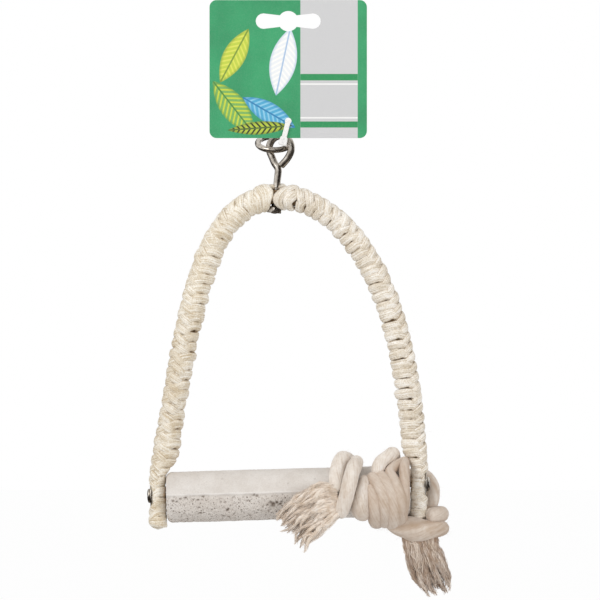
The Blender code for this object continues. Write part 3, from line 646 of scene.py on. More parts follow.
def makeTie():
    store = newStore()
    path = tieLoop()
    side = np.array([1.0, 0, 0])
    over = np.cross(pathFrames(path, closed=True)[0], side)
    angle = evenTurns(20)
    corner = squared(np.cos(angle), 0.35) * tie["width"] / 2
    crown = squared(np.sin(angle), 0.45) * tie["thick"] / 2
    notch = 1 - tie["notch"] * (np.arange(len(path)) % 2)[:, None] * (np.sin(angle) > 0.5)
    strap = path[:, None] + side * corner[:, None] + over[:, None] * (crown * notch)[..., None]
    lean = Matrix.Translation((0, 0, tie["holeZ"])) @ Matrix.Rotation(math.radians(tie["lean"]), 4, "Y")
    for rings, closed in ((strap, True), (tieHead(), False)):
        rings = rings @ np.array(lean.to_3x3()).T + np.array(lean.translation)
        addGrid(store, rings * mm, rings * mm, closed=closed)
    makePiece("nylonTie", store, milkyNylon, "white_nylon", "tie", "cable_tie")


# ring, eye bolt and nut

ring = dict(radius=8.1, wire=1.45, pitch=26.4, turn=-61.0, place=(-3.05, 5.336, -67.9), steps=120)
bolt = dict(wire=1.75, turn=25.0, lean=6.0, centre=(-3.894, 5.730, -67.382), eye=6.0, shift=1.1, spread=25.0,
            limb=6.0, neck=4.4, endGap=-0.5, endRaise=2.3, endSlant=42.0, crossing=(-6.205, 6.195, -91.182),
            tail=8.6, threadFrom=-86.6, pitch=0.7, threadDepth=0.2, threadBlend=0.6, threadDark=0.55,
            endRound=0.5, step=0.09, sides=28)
nut = dict(flats=7.0, height=3.2, drop=6.6, bore=1.9, chamfer=0.55, edge=0.08, boreEdge=0.3, sides=72)


def makeRing():
    store = newStore()
    pitch, turn = math.radians(ring["pitch"]), math.radians(ring["turn"])
    angle = turn + evenTurns(ring["steps"])
    depth = np.array([0, math.cos(pitch), math.sin(pitch)])
    path = np.array([1.0, 0, 0]) * (np.cos(angle) - math.cos(turn))[:, None]
    path = path + depth * (np.sin(angle) - math.sin(turn))[:, None]
    path = path * ring["radius"] + np.array(ring["place"])
    addTube(store, path, ring["wire"], bolt["sides"], closed=True)
    makePiece("hangerRing", store, brightNickel, "nickel_plate", "ring", "hanger_ring")


def eyeRoute():
    spread = math.radians(bolt["spread"])
    angles = np.linspace(-spread, math.pi + spread, 60)
    eye, shift = bolt["eye"], bolt["shift"]
    roundPart = [Vector((shift + eye * math.cos(a), eye * math.sin(a))) for a in angles]
    drop = Vector((-math.sin(spread), -math.cos(spread)))
    inward = Vector((math.sin(spread), -math.cos(spread)))
    leftLow = roundPart[-1] + inward * bolt["limb"] * 0.8
    neck = Vector((0, leftLow.y - bolt["neck"]))
    bend = interpolate_bezier(leftLow, leftLow + inward * bolt["neck"] * 0.4,
                              neck + Vector((0, bolt["neck"] * 0.45)), neck, 24)
    down = [roundPart[-1] + inward * bolt["limb"] * share for share in (0.25, 0.5)]
    tip = neck + Vector((bolt["wire"] + bolt["endGap"], bolt["endRaise"]))
    slant = math.radians(bolt["endSlant"])
    close = interpolate_bezier(tip, tip + Vector((math.sin(slant), math.cos(slant))) * bolt["neck"] * 0.5,
                               roundPart[0] + drop * bolt["limb"] * 0.6, roundPart[0], 24)
    limb = [Vector(p[:2]) for p in close[:-1]]
    return limb + roundPart + down + [Vector(p[:2]) for p in bend]


def boltDown():
    lean = math.radians(bolt["lean"])
    return np.array([-math.sin(lean), 0, -math.cos(lean)])


def makeBolt():
    store = newStore()
    spin = math.radians(-bolt["turn"])
    centre = np.array(bolt["centre"])
    # shank beside the eye's centre, in the eye's own plane
    shank = centre - np.array([math.cos(spin), math.sin(spin), 0]) * bolt["shift"]
    path = [shank + np.array([p.x * math.cos(spin), p.x * math.sin(spin), p.y]) for p in eyeRoute()]
    end = np.array(bolt["crossing"]) + boltDown() * bolt["tail"]
    start = path[-1]
    count = int(np.linalg.norm(end - start) / bolt["step"])
    path += [start + (end - start) * k / count for k in range(1, count + 1)]
    path = np.array(path)
    run = runLengths(path)
    cut = smoothStep((bolt["threadFrom"] - path[:, 2]) / bolt["threadBlend"])

    def thread(along, angle):
        wave = 0.5 + 0.5 * np.cos(tau * along / bolt["pitch"] - angle)
        return 1 - cut[:, None] * bolt["threadDepth"] * (1 - wave) / bolt["wire"]

    radius = bolt["wire"] * roundEnds(run, bolt["endRound"])
    tone = (bolt["threadDark"] * cut)[:, None] * np.ones((1, bolt["sides"]))  # darker along the threaded part
    addTube(store, path, radius, bolt["sides"], tone=tone, swell=thread)
    makePiece("eyeBolt", store, brightNickel, "nickel_plate", "swing", "eye_bolt")


def makeNut():
    store = newStore()
    angle = evenTurns(nut["sides"])
    flat, half = nut["flats"] / 2, nut["height"] / 2
    hexagon = flat / np.cos((angle + math.pi / 6) % (math.pi / 3) - math.pi / 6)
    edge, chamfer, inset = half - nut["edge"], half - nut["chamfer"], half - nut["boreEdge"]
    cones = ((-half, 0.96), (-edge, 1.0), (-chamfer, 1.2), (0, 1.2), (chamfer, 1.2), (edge, 1.0),
             (half, 0.96))
    rows = [(np.minimum(hexagon, flat * share), height) for height, share in cones]
    bore = np.full(len(angle), nut["bore"])
    wideBore = bore + nut["boreEdge"]
    rows += [(wideBore, half), (bore, inset), (bore, 0), (bore, -inset), (wideBore, -half)]
    down = boltDown()
    middle = np.array(bolt["crossing"]) + down * nut["drop"]
    across, front = np.array([-down[2], 0, down[0]]), np.array([0, -1.0, 0])
    rings = []
    shadeTones = []
    for radius, height in rows:
        out = across * (radius * np.cos(angle))[:, None] + front * (radius * np.sin(angle))[:, None]
        rings.append(middle - down * height + out)
        shadeTones.append(np.clip(0.45 + 0.6 * height / half, 0, 1) * np.ones(len(angle)))  # painted shade, darker at the top under the twine
    addGrid(store, np.array(rings) * mm, np.array(rings) * mm, tone=np.array(shadeTones), closed=True)
    makePiece("eyeNut", store, brightNickel, "nickel_plate", "swing", "eye_nut")


# sizes of the perch and its fasteners

# raises are the heights of the two plugs; the stain: its place, turn, half length, half height and strength;
# each pit that the photo shows: its place, turn, size and depth
perch = dict(length=120.0, radius=12.6, edge=3.0, tilt=1.624, place=(0.0, 6.195, -238.182), rows=340,
             around=192, plug=4.8, pocket=26.3, pocketLip=0.02, raises=(1.2, 3.2), parting=8.0, ridge=0.5,
             groove=0.5, setIn=0.22, roughness=0.07, coarse=0.2, waves=0.12,
             stain=(-7.0, -20.0, 4.5, 8.0, 0.45), pits=900,
             knownPits=((-7.2, -21, 0.9, 0.9), (-5.6, -17, 0.7, 0.8), (-8.8, -15, 0.7, 0.7),
                        (-10.4, -22, 0.6, 0.6), (-3.8, -20, 0.7, 0.7), (-50.4, 1, 0.6, 0.7),
                        (-46.6, -4, 0.5, 0.7), (-44.4, -5, 0.6, 0.8), (-42.4, -5, 0.5, 0.7),
                        (-56.6, -6, 0.7, 0.7), (-54.8, -8, 0.6, 0.7), (-31.0, -12, 0.6, 0.7),
                        (-44.0, -24, 0.6, 0.6), (-20.0, -10, 0.6, 0.6)))
fastener = dict(seats=(67.2, 67.8), washer=6.5, washerThick=0.8, soft=0.22, burr=0.06, bore=1.8, head=3.5,
                headHigh=1.5, headEdge=0.12, shank=1.5, length=26.0, tip=4.0, worm=0.18, wormPitch=1.2,
                gap=0.15, press=0.3, pressReach=1.3, bank=3.0, bankGap=0.1, bankBlend=1.2,
                recess=1.9, recessWide=0.5, recessDeep=1.1, washerSides=72, screwSides=64)
perchTurn = Matrix.Translation(perch["place"]) @ Matrix.Rotation(math.radians(-perch["tilt"]), 4, "Y")
perchSpin, perchShift = np.array(perchTurn.to_3x3()), np.array(perchTurn.translation)


# arch and its twine

arch = dict(footX=62.3, leftFoot=-254.082, rightFoot=-249.582, crownX=-4.1, crownZ=-91.182, planeY=6.195,
            straight=26.0, leftLean=10.0, rightLean=2.75, leftRise=73.5, rightRise=115.6, reachLeft=39.9,
            reachRight=16.8, core=3.8, footThick=3.6, footSet=2.05, flatLength=24.0, flatBlend=12.0,
            spare=8.0)
# foot to filled are spans of an arm: (run from its foot, length of the blend)
twine = dict(pitch=4.9, thick=1.72, base=4.32, bed=0.42, sink=0.12, middle=1.0, endTurns=0.3, stepsPerTurn=64,
             across=25, startShare=0.85, startTurn=270, ridge=0.09, bundle=0.06, footFill=0.95,
             footSwell=0.22, foot=(34.0, 14.0), wideFoot=(30.0, 10.0), thickFoot=(38.0, 10.0),
             full=(24.0, 12.0), brown=(22.0, 10.0), low=(150.0, 50.0), filled=(92.0, 26.0), knotHigh=0.9,
             knotReach=3.6, crownReach=6.0, leanReach=16.0, capRun=1.3, capBulge=2.6, hitchRows=22,
             hitchSides=12, hairs=90, hair=0.045)
# the spine is the line of half hitches: (run from the foot, turn round the arm)
# lowGap widens the painted shade at the edges of the low turns, and lowTone makes those turns browner
arms = dict(
    left=dict(piece="twineLeft", node="sisal_wrap_left", seed=4, half=2.88, extra=0.45, fill=0.42, smooth=20,
              spine=((0, 40), (40, 76), (90, 76), (122, 50), (165, 48), (200, 70), (235, 60)), spineHalf=64,
              pinch=0.2, knuckle=(1.9, 0.66), leanCos=2.8, leanSin=0.0, endGap=6.2, crown=0.5, footFront=0.5,
              footWide=-0.08, lowGap=2.6, lowTone=0.42, knot=None),
    right=dict(piece="twineRight", node="sisal_wrap_right", seed=9, half=2.58, extra=0.1, fill=0.05,
               smooth=40, spine=((0, 30), (95, 26), (130, 34), (165, 62), (215, 80)), spineHalf=60,
               pinch=0.14, knuckle=(2.2, 1.05), leanCos=0.4, leanSin=3.4, endGap=1.6, crown=0.8,
               footFront=0.36, footWide=0.03, lowGap=0.3, lowTone=0.0, knot=61.5))


def leaning(turn):  # a unit vector upwards, leaning to the right
    return Vector((math.sin(math.radians(turn)), math.cos(math.radians(turn))))


def archLine():
    leftUp, rightUp = leaning(arch["leftLean"]), leaning(-arch["rightLean"])
    straight, spare = Vector((0, arch["straight"])), Vector((0, arch["spare"]))
    short = arch["straight"] / 4
    up = Vector((0, short))
    leftEnd, rightEnd = Vector((-arch["footX"], arch["leftFoot"])), Vector((arch["footX"], arch["rightFoot"]))
    leftTop, rightTop = leftEnd + straight, rightEnd + straight
    crown = Vector((arch["crownX"], arch["crownZ"]))
    knots = [(leftEnd - up, leftEnd, leftEnd + up),
             (leftTop - leftUp * short, leftTop, leftTop + leftUp * arch["leftRise"]),
             (crown - Vector((arch["reachLeft"], 0)), crown, crown + Vector((arch["reachRight"], 0))),
             (rightTop + rightUp * arch["rightRise"], rightTop, rightTop - rightUp * short),
             (rightEnd + up, rightEnd, rightEnd - up)]
    points = [np.array(leftEnd - spare)]
    crownIndex = 0
    for first, second in zip(knots, knots[1:]):
        run = interpolate_bezier(first[1], first[2], second[0], second[1], 161)
        points += [np.array(p[:2]) for p in run[:-1]]
        if second[1] == crown:
            crownIndex = len(points)
    points = np.array(points + [np.array(rightEnd), np.array(rightEnd - spare)])
    run = runLengths(points) - arch["spare"]
    tangent = np.gradient(points, axis=0)
    tangent /= np.linalg.norm(tangent, axis=1)[:, None]
    return dict(run=run, x=points[:, 0], z=points[:, 1], tx=tangent[:, 0], tz=tangent[:, 1],
                total=run[-1] - arch["spare"], crown=run[crownIndex])


line = archLine()
print("arch length", round(line["total"], 1), "crown at", round(line["crown"], 1))


def onArch(run, angle, radius):  # angle 0 is outwards, a quarter turn is the front
    x, z, tx, tz = (np.interp(run, line["run"], line[key]) for key in ("x", "z", "tx", "tz"))
    toEnd = np.minimum(run, line["total"] - run)
    ease = smoothStep((toEnd - arch["flatLength"]) / arch["flatBlend"])
    half = arch["footThick"] / 2 + (arch["core"] - arch["footThick"] / 2) * ease
    side = np.cos(angle) * (half + radius - arch["core"]) + arch["footSet"] * (1 - ease)
    front = np.sin(angle) * radius
    return np.stack([x - tz * side, arch["planeY"] - front, z + tx * side], axis=-1)


def onArm(sideName, run, angle, radius):  # run starts at the arm's own foot
    return onArch(run if sideName == "left" else line["total"] - run, angle, radius)


def bedWasher(points):  # twine pressed flat under a washer, and banked up round it
    local = (points - perchShift) @ perchSpin
    for side, seat, raised in zip((-1, 1), fastener["seats"], perch["raises"]):
        near = np.hypot(local[..., 1], local[..., 2] - raised)
        bank = smoothStep((near - fastener["washer"] - fastener["bankGap"]) / fastener["bankBlend"])
        limit = seat - fastener["press"] + fastener["bank"] * bank
        out = side * local[..., 0]
        pressed = near < fastener["washer"] + fastener["pressReach"]
        local[..., 0] = side * np.where(pressed, np.minimum(out, limit), out)
    return local @ perchSpin.T + perchShift


def below(run, span):  # 1 under a span's run, blended to 0 at it
    return smoothStep((span[0] - run) / span[1])


def above(run, span):  # 0 up to a span's run, blended to 1 beyond it
    return smoothStep((run - span[0]) / span[1])


def spineAngle(arm, run):
    return np.radians(np.interp(run, *zip(*arm["spine"])))


def windTwine(sideName, dice):  # the band's course: where it runs, how wide and how thick it is
    arm = arms[sideName]
    seed = arm["seed"]
    wound = line["crown"] if sideName == "left" else line["total"] - line["crown"]
    start, stop = arm["half"] * twine["startShare"], wound - arm["endGap"]
    turns = round((stop - start) / twine["pitch"])
    pitch = (stop - start) / turns
    more = 1 + twine["endTurns"]  # one more turn closes the foot, and a part of one the crown
    steps = round((turns + more) * twine["stepsPerTurn"])
    angle = np.linspace(0, tau * (turns + more), steps + 1) + math.radians(twine["startTurn"])
    roughRun = np.linspace(start - pitch, stop + pitch * twine["endTurns"], steps + 1)
    half = math.radians(arm["spineHalf"])
    turned = (angle - spineAngle(arm, roughRun) + half) / tau
    within = (turned - np.floor(turned)) * tau
    run = start + pitch * (np.floor(turned) - np.floor(turned[0]) + smoothStep(within / (2 * half)))
    run = np.clip(run - run[0] + start - pitch, start, stop)

    def perTurn(low, high, shift=0.5):  # one draw for each turn, blended along the band
        marks = np.arange(turns + 5) + shift
        return np.interp(turned - np.floor(turned[0]), marks, dice.uniform(low, high, len(marks)))

    run = run + 0.45 * softNoise(turned * 3.1, 0, seed) + perTurn(-0.35, 0.35)
    pinchGap = ((within - 2 * half + math.pi) % tau) - math.pi
    pinch = perTurn(0.0, arm["pinch"], 0.0) * np.exp(-(pinchGap / 0.26) ** 2)
    toEnds = np.minimum(np.arange(steps + 1), np.arange(steps + 1)[::-1]) / twine["stepsPerTurn"]
    tuck = smoothStep(toEnds / 0.12)
    wide = arm["half"] * perTurn(0.97, 1.12) * (1 + 0.08 * softNoise(turned * 2.3, 5, seed)) * (1 - pinch)
    wide = wide * (0.35 + 0.65 * tuck) + 0.14 * softNoise(turned * 17.0, 2, seed)
    wide = wide * (1 + arm["footWide"] * below(run, twine["wideFoot"]))
    deepest = twine["thick"] + arm["extra"] * (0.4 + 0.6 * above(run, twine["full"]))
    thick = deepest * perTurn(0.84, 1.16) * (1 + 0.16 * softNoise(turned * 4.1, 9, seed))
    knot = 0.0 if arm["knot"] is None else np.exp(-((run - arm["knot"]) / twine["knotReach"]) ** 2)
    thick = thick * (0.3 + 0.7 * tuck) + twine["knotHigh"] * knot
    thick = thick + twine["footSwell"] * below(run, twine["thickFoot"])
    thick = thick + arm["crown"] * np.exp(-((stop - run) / twine["crownReach"]) ** 2)
    middle = twine["base"] + twine["middle"]
    return dict(start=start, stop=stop, turns=turns, pitch=pitch, middle=middle, angle=angle, run=run,
                turn=np.floor(turned), pinchGap=pinchGap, wide=wide, thick=thick, tilt=perTurn(-0.26, 0.3),
                lean=np.arctan2(np.gradient(run, angle), middle),
                length=runLengths(np.stack([run, middle * angle], axis=-1)))


def bandHeight(arm, course, share):  # the band's height at each share of its half width
    seed = arm["seed"]
    keys = ("run", "angle", "length", "thick", "tilt", "wide")
    run, angle, length, thick, tilt, wide = (course[key][:, None] for key in keys)
    facing = 0.5 + 0.5 * np.cos(angle - math.radians(arm["smooth"]))
    fill = arm["fill"] * above(run, twine["filled"]) * facing
    pressed = arm["footFront"] - (1 - arm["footFront"]) * np.cos(angle)  # most against the perch
    fill = fill + twine["footFill"] * below(run, twine["foot"]) * pressed
    dome = np.clip(1 - np.abs(share) ** 3.0, 0, 1) ** 0.62
    bundle = np.cos(tau * (share * 0.95 + 0.5 * softNoise(length / 26.0, 3, seed) + 0.15))
    fibre = softNoise(length / 7.0, share * 8.0 + 20, seed)
    fibre = fibre + 0.7 * softNoise(length / 2.5, share * 13.0 + 60, seed + 1)
    fibre = fibre + 0.5 * softNoise(length / 1.1 + share * 3, share * 5.0 + 90, seed + 2)
    height = thick * (fill + (1 - fill) * dome)
    return height + dome * (twine["bundle"] * bundle + twine["ridge"] * fibre) + tilt * (wide * share) * 0.5


def addBand(store, sideName, course):
    arm = arms[sideName]
    keys = ("run", "angle", "wide", "lean", "length", "turn", "pinchGap")
    run, angle, wide, lean, length, turn, pinchGap = (course[key][:, None] for key in keys)
    share = np.linspace(-1, 1, twine["across"])
    back = np.array([0.62, 0.0, -0.62])  # three rows against the cane
    backRows = np.ones((len(run), len(back)))
    off = wide * np.concatenate([share, back])
    outer = twine["base"] - twine["sink"] + bandHeight(arm, course, share)
    radius = np.concatenate([outer, backRows * (twine["base"] - twine["bed"])], axis=1)
    runGrid = run + off * np.cos(lean)
    angleGrid = angle - off * np.sin(lean) / course["middle"]
    fade = 1 - smoothStep((course["stop"] - run) / twine["leanReach"])
    slant = arm["leanCos"] * np.cos(angleGrid) + arm["leanSin"] * np.abs(np.sin(angleGrid))
    runGrid = runGrid + fade * slant
    rings = bedWasher(onArm(sideName, runGrid, angleGrid, radius))
    flow = np.stack([np.broadcast_to(length, off.shape), off + turn * 7.0, radius], axis=-1)
    lowPart = above(run, twine["brown"]) * below(run, twine["low"])  # the low turns are browner, with wider painted shade at their edges
    # painted shade at each band's edges, between the turns, stronger where a band pinches and weaker near the
    # foot
    edge = np.concatenate([np.abs(share) ** (5 - arm["lowGap"] * lowPart), backRows], axis=1)
    tone = np.clip(edge * (0.75 + 0.25 * np.exp(-(pinchGap / 0.5) ** 2)), 0, 1)
    tone = np.maximum(tone * (1 - 0.35 * below(run, twine["foot"])), arm["lowTone"] * lowPart)
    addGrid(store, rings * mm, flow * mm, tone)


def addHitches(store, sideName, course, dice):  # a short strand slants back over each turn along the spine
    arm = arms[sideName]
    pitch, middle = course["pitch"], course["middle"]
    share = np.linspace(-1, 1, twine["hitchRows"])
    around = evenTurns(twine["hitchSides"])
    for k in range(1, course["turns"] - 1):
        at = course["start"] + pitch * (k + 0.5)
        lineTurn = spineAngle(arm, at) + dice.uniform(-0.1, 0.1)
        reach = math.radians(dice.uniform(48, 60))
        swing = dice.uniform(0.34, 0.5) * pitch
        strandRun = at - swing * np.sin(share * 1.45) + dice.uniform(-0.3, 0.3)
        dive = np.cos(share * math.pi / 2) ** 0.8
        high = twine["thick"] + arm["extra"] + dice.uniform(-0.28, 0.02)
        depth = twine["base"] + 0.15 + high * dive * 0.88
        body = ((0.5 + 0.5 * dive) * dice.uniform(0.85, 1.15))[:, None]
        rows = arm["knuckle"][0] * body * np.cos(around)
        rise = arm["knuckle"][1] * body * np.sin(around)
        rise = rise + 0.05 * softNoise(share[:, None] * 3, around * 4, arm["seed"] + k)
        strandTurn = (lineTurn + reach * share)[:, None] + rows * 0.35 / middle
        strand = onArm(sideName, strandRun[:, None] + rows * 0.9, strandTurn, depth[:, None] + rise)
        along = (share * reach * middle)[:, None] * np.ones_like(rows)
        # painted shade on the strand's sides and where it dives under the band
        tone = np.clip(0.75 * np.abs(np.cos(around)) ** 5 + 0.4 * (1 - dive)[:, None], 0, 1)
        tone = np.maximum(tone, arm["lowTone"] * below(at, twine["low"]))
        flow = np.stack([along + k * 31.0, rows, rise], axis=-1)
        addGrid(store, bedWasher(strand) * mm, flow * mm, tone)


def addFootCap(store, sideName):  # the foot's end, covered by the first turn folded under it
    seed = arms[sideName]["seed"]
    share = np.linspace(0, 1, 12)[:, None]
    turn = evenTurns(60)[None, :]
    rim = twine["base"] + twine["thick"] * 0.82 + 0.12 * softNoise(share * 6, turn * 2, seed)
    bulge = np.sin(share * math.pi / 2) * (1 + 0.12 * softNoise(share * 4, turn * 1.4, seed + 2))
    run = twine["capRun"] - twine["capBulge"] * bulge
    outside = onArm(sideName, run, turn, rim)
    middle = onArm(sideName, run, turn * 0 + math.pi / 2, np.zeros_like(rim))
    cap = middle + (outside - middle) * np.maximum(np.cos(share * math.pi / 2), 0.01)[..., None]
    flow = np.stack([cap[..., 1] * 2, cap[..., 0] * 1.2, cap[..., 2]], axis=-1)
    addGrid(store, cap * mm, flow * mm, 0.1)


def addLooseFibres(store, sideName, course, dice):
    for k in range(twine["hairs"]):
        at, turn = dice.uniform(course["start"], course["stop"]), dice.uniform(0, tau)
        root = onArm(sideName, at, turn, twine["base"] + twine["thick"] * 0.8)
        aheadRun = at + dice.uniform(-2.0, 2.0)
        ahead = onArm(sideName, aheadRun, turn + 0.5, twine["base"] + twine["thick"] + dice.uniform(0.0, 0.9))
        addHair(store, root, ahead - root, dice.uniform(1.8, 5.0), twine["hair"], 0.25, dice)


def makeTwine(sideName):
    arm = arms[sideName]
    dice = np.random.default_rng(arm["seed"])
    store = newStore()
    course = windTwine(sideName, dice)
    addBand(store, sideName, course)
    addHitches(store, sideName, course, dice)
    addFootCap(store, sideName)
    addLooseFibres(store, sideName, course, dice)
    finish = sisalWarm if sideName == "left" else sisalPale
    makePiece(arm["piece"], store, finish, "sisal", "swing", arm["node"])


# perch and its fasteners

def onPerchFrame(points):
    return np.asarray(points) @ perchSpin.T + perchShift


def signedTurn(turn):  # degrees brought between -180 and 180
    return (turn + 180) % 360 - 180


def addParting(grid, tone, x, angle):  # the mould's parting lines, in front and behind
    for middle, seed in ((perch["parting"], 3), (180 - perch["parting"], 4)):
        away = signedTurn(np.degrees(angle) - middle) + 1.1 * softNoise(x / 17.0, 0, seed)
        strong = 0.75 + 0.4 * softNoise(x / 6.0, 2, seed)
        below = away if middle < 90 else -away
        grid += strong * perch["ridge"] * np.exp(-(below / 2.0) ** 2)
        grid -= strong * perch["groove"] * np.exp(-((below + 4.6) / 2.4) ** 2)
        # painted shade in the groove under each ridge
        tone += 0.3 * strong * np.exp(-((below + 5.0) / 3.0) ** 2)


def addCoarse(grid, tone, x, angle):  # the torn lower half, and a light roughness all over
    signed = signedTurn(np.degrees(angle))
    under = np.where(signed < -90, -180 - signed, signed)  # height angle, the same in front and behind
    under = np.where(signed > 90, 180 - signed, under)
    lower = smoothStep((perch["parting"] - 3.0 - under) / 4.0)
    torn = softNoise(x / 1.3, angle * 10, 15) + 0.8 * softNoise(x / 0.7, angle * 19, 16)
    grid -= lower * (perch["setIn"] + perch["coarse"] * np.clip(torn, -0.6, 1.4) * 0.6)
    # painted shade where the torn surface sinks deepest
    tone += 0.22 * lower * np.clip(torn, 0, 1)
    grid += perch["roughness"] * softNoise(x / 1.1, angle * 11, 7)
    grid += perch["waves"] * softNoise(x / 9.0, np.cos(angle) * 2 + np.sin(angle) * 3, 8)


def addPits(grid, tone, x, angle):  # the pits that the photo shows, many more by chance, and one stain
    dice = np.random.default_rng(21)
    signed = signedTurn(np.degrees(angle))
    reach = perch["length"] / 2 - 2
    pits = list(perch["knownPits"])
    for k in range(perch["pits"]):
        size = dice.uniform(0.22, 0.42) + 0.4 * dice.random() ** 6
        turn = dice.uniform(-184, 4) if dice.random() < 0.93 else dice.uniform(10, 170)
        pits.append((dice.uniform(-reach, reach), turn, size, size * dice.uniform(0.4, 0.9)))
    for pitX, pitTurn, size, deep in pits:
        spread = 1 + 0.6 * dice.random()
        around = np.radians(signedTurn(signed - pitTurn)) * perch["radius"]
        bowl = np.clip(1 - ((x - pitX) / (size * spread)) ** 2 - (around / size) ** 2, 0, 1) ** 0.7
        grid -= deep * bowl
        # painted shade in each pit
        tone += 0.9 * bowl * min(1.0, size)
    stainX, stainTurn, stainLong, stainHigh, strength = perch["stain"]
    far = ((x - stainX) / stainLong) ** 2 + ((signed - stainTurn) / stainHigh) ** 2
    tone += strength * np.exp(-far) * (0.8 + 0.8 * softNoise(x / 1.2, signed / 5.0, 31))


def plugPocket(side, raised, angle):  # a plug's pocket: its rim, its floor's edge and its closing
    x = np.full(len(angle), side * (perch["length"] / 2 - perch["pocketLip"]))
    rim = np.stack([x, -perch["plug"] * np.cos(angle), raised + perch["plug"] * np.sin(angle)], axis=-1)
    deepRim = rim - np.array([side * perch["pocket"], 0, 0])
    middle = np.array([0, 0, raised])
    return np.array([rim, deepRim, middle + (deepRim - middle) * np.array([1, 0.02, 0.02])])


def makePerch():
    store = newStore()
    angle = evenTurns(perch["around"])  # 0 is the front, a quarter turn the top
    half, edge = perch["length"] / 2, perch["edge"]
    bend = np.linspace(0, math.pi / 2, 9)
    endX = -half + edge - edge * np.cos(bend)
    endRadius = perch["radius"] - edge + edge * np.sin(bend)
    body = np.linspace(-half + edge, half - edge, perch["rows"])[1:-1]
    x = np.concatenate([endX, body, -endX[::-1]])[:, None]
    radius = np.concatenate([endRadius, np.full(len(body), perch["radius"]), endRadius[::-1]])[:, None]
    grid = radius * np.ones_like(angle)
    tone = np.zeros_like(grid)
    for addFeature in (addParting, addCoarse, addPits):  # each changes grid and tone in place
        addFeature(grid, tone, x, angle)
    rings = np.stack([x * np.ones_like(grid), -grid * np.cos(angle), grid * np.sin(angle)], axis=-1)
    left, right = (plugPocket(side, raised, angle) for side, raised in zip((-1, 1), perch["raises"]))
    rings = np.concatenate([left[::-1], rings, right])
    blank = np.zeros((len(left), len(angle)))
    tone = np.concatenate([blank, np.clip(tone, 0, 1), blank])
    addGrid(store, onPerchFrame(rings) * mm, rings * mm, tone)
    makePiece("castPerch", store, castMineral, "mineral", "swing", "perch")


def turnedRings(profile, sides):  # (distance along, radius) rows turned about the perch's length
    angle = evenTurns(sides)
    along, radius = np.array(profile).T[..., None]
    return np.stack([along * np.ones_like(angle), radius * np.cos(angle), radius * np.sin(angle)], axis=-1)


def makeWasher(sideName, side, seat, lift):
    store = newStore()
    soft, burr, thick = fastener["soft"], fastener["burr"], fastener["washerThick"]
    rim, bore = fastener["washer"], fastener["bore"]
    rings = turnedRings([(0, bore + 0.1), (0, rim - soft), (burr, rim - burr), (soft, rim),
                         (thick - soft, rim), (thick - burr, rim - burr), (thick, rim - soft),
                         (thick, bore + 0.2), (thick - 0.1, bore), (0.1, bore)],
                        fastener["washerSides"])
    rings[..., 0] = side * (seat + rings[..., 0])
    addGrid(store, onPerchFrame(rings + lift) * mm, rings * mm, 0.12, closed=True)
    name = "perchWasher" + sideName.capitalize()
    makePiece(name, store, brightNickel, "nickel_plate", "swing", "perch_washer_" + sideName)


def screwProfile():  # (distance along, radius) rows from the top of the head to the tip
    head, high, edge = fastener["head"], fastener["headHigh"], fastener["headEdge"]
    shank, worm, pitch = fastener["shank"], fastener["worm"], fastener["wormPitch"]
    length, tip = fastener["length"], fastener["tip"]
    bend = np.linspace(0.02, 1.45, 26)
    dome = [(high * (0.4 + 0.6 * math.cos(turn)), head * math.sin(turn)) for turn in bend]
    under = [(high * 0.36, head), (edge, head), (0, head - edge), (0, shank + 0.2)]
    depths = np.arange(0.3, length - tip, 0.12)
    thread = [(-depth, shank - worm + worm * math.cos(tau * depth / pitch)) for depth in depths]
    taper = np.linspace(0, 1, 12)
    point = [(-length + tip * (1 - share), shank * (1 - share) * 0.9 + 0.03) for share in taper]
    return dome + under + thread + point


def makeScrew(sideName, side, seat, lift):
    store = newStore()
    rings = turnedRings(screwProfile(), fastener["screwSides"])
    cross, out = np.sort(np.abs(rings[..., 1:]), axis=-1).transpose(2, 0, 1)
    inHead = rings[..., 0] > fastener["headHigh"] * 0.4
    sunk = inHead * smoothStep((fastener["recessWide"] - cross) / 0.18 + 0.5)
    sunk = sunk * smoothStep((fastener["recess"] - out) / 0.3 + 0.5)
    rings[..., 0] -= fastener["recessDeep"] * sunk
    rings[..., 0] = side * (seat + fastener["washerThick"] + fastener["gap"] + rings[..., 0])
    # the whole screw a little darker, and painted shade in the cross recess
    addGrid(store, onPerchFrame(rings + lift) * mm, rings * mm, 0.35 + 0.6 * sunk)
    name = "perchScrew" + sideName.capitalize()
    makePiece(name, store, brightNickel, "nickel_plate", "swing", "perch_screw_" + sideName)


def makeFasteners():
    for sideName, side, seat, raised in zip(("left", "right"), (-1, 1), fastener["seats"], perch["raises"]):
        lift = np.array([0, 0, raised])
        makeWasher(sideName, side, seat, lift)
        makeScrew(sideName, side, seat, lift)


# cotton rope: strands laid on the perch, bends beside the right foot, and two frayed ends

# creaseTone is how much painted shade and light the creases get on the strands and on the bights; groove is
# the painted shade in the grooves between the wraps; shadeTones is the painted shade of each piece, more on
# the lower pieces and on those further right
rope = dict(seat=12.9, lie=3.75, sides=64, step=0.5, footX=64.35, ends=2.8, lay=0.1, groove=0.3,
            grooveDeep=1.8, creaseTone=(0.06, 0.24), hairs=54, hair=0.03,
            shadeTones=dict(ropeStrand2=0.22, ropeStrand3=0.42, ropeWrap1=0.57, ropeWrap2=0.55, ropeWrap3=0.57,
                       ropeBightTop=0.03, ropeBightBack=0.4, ropeBightRight=0.6, ropeBightLow=0.68))
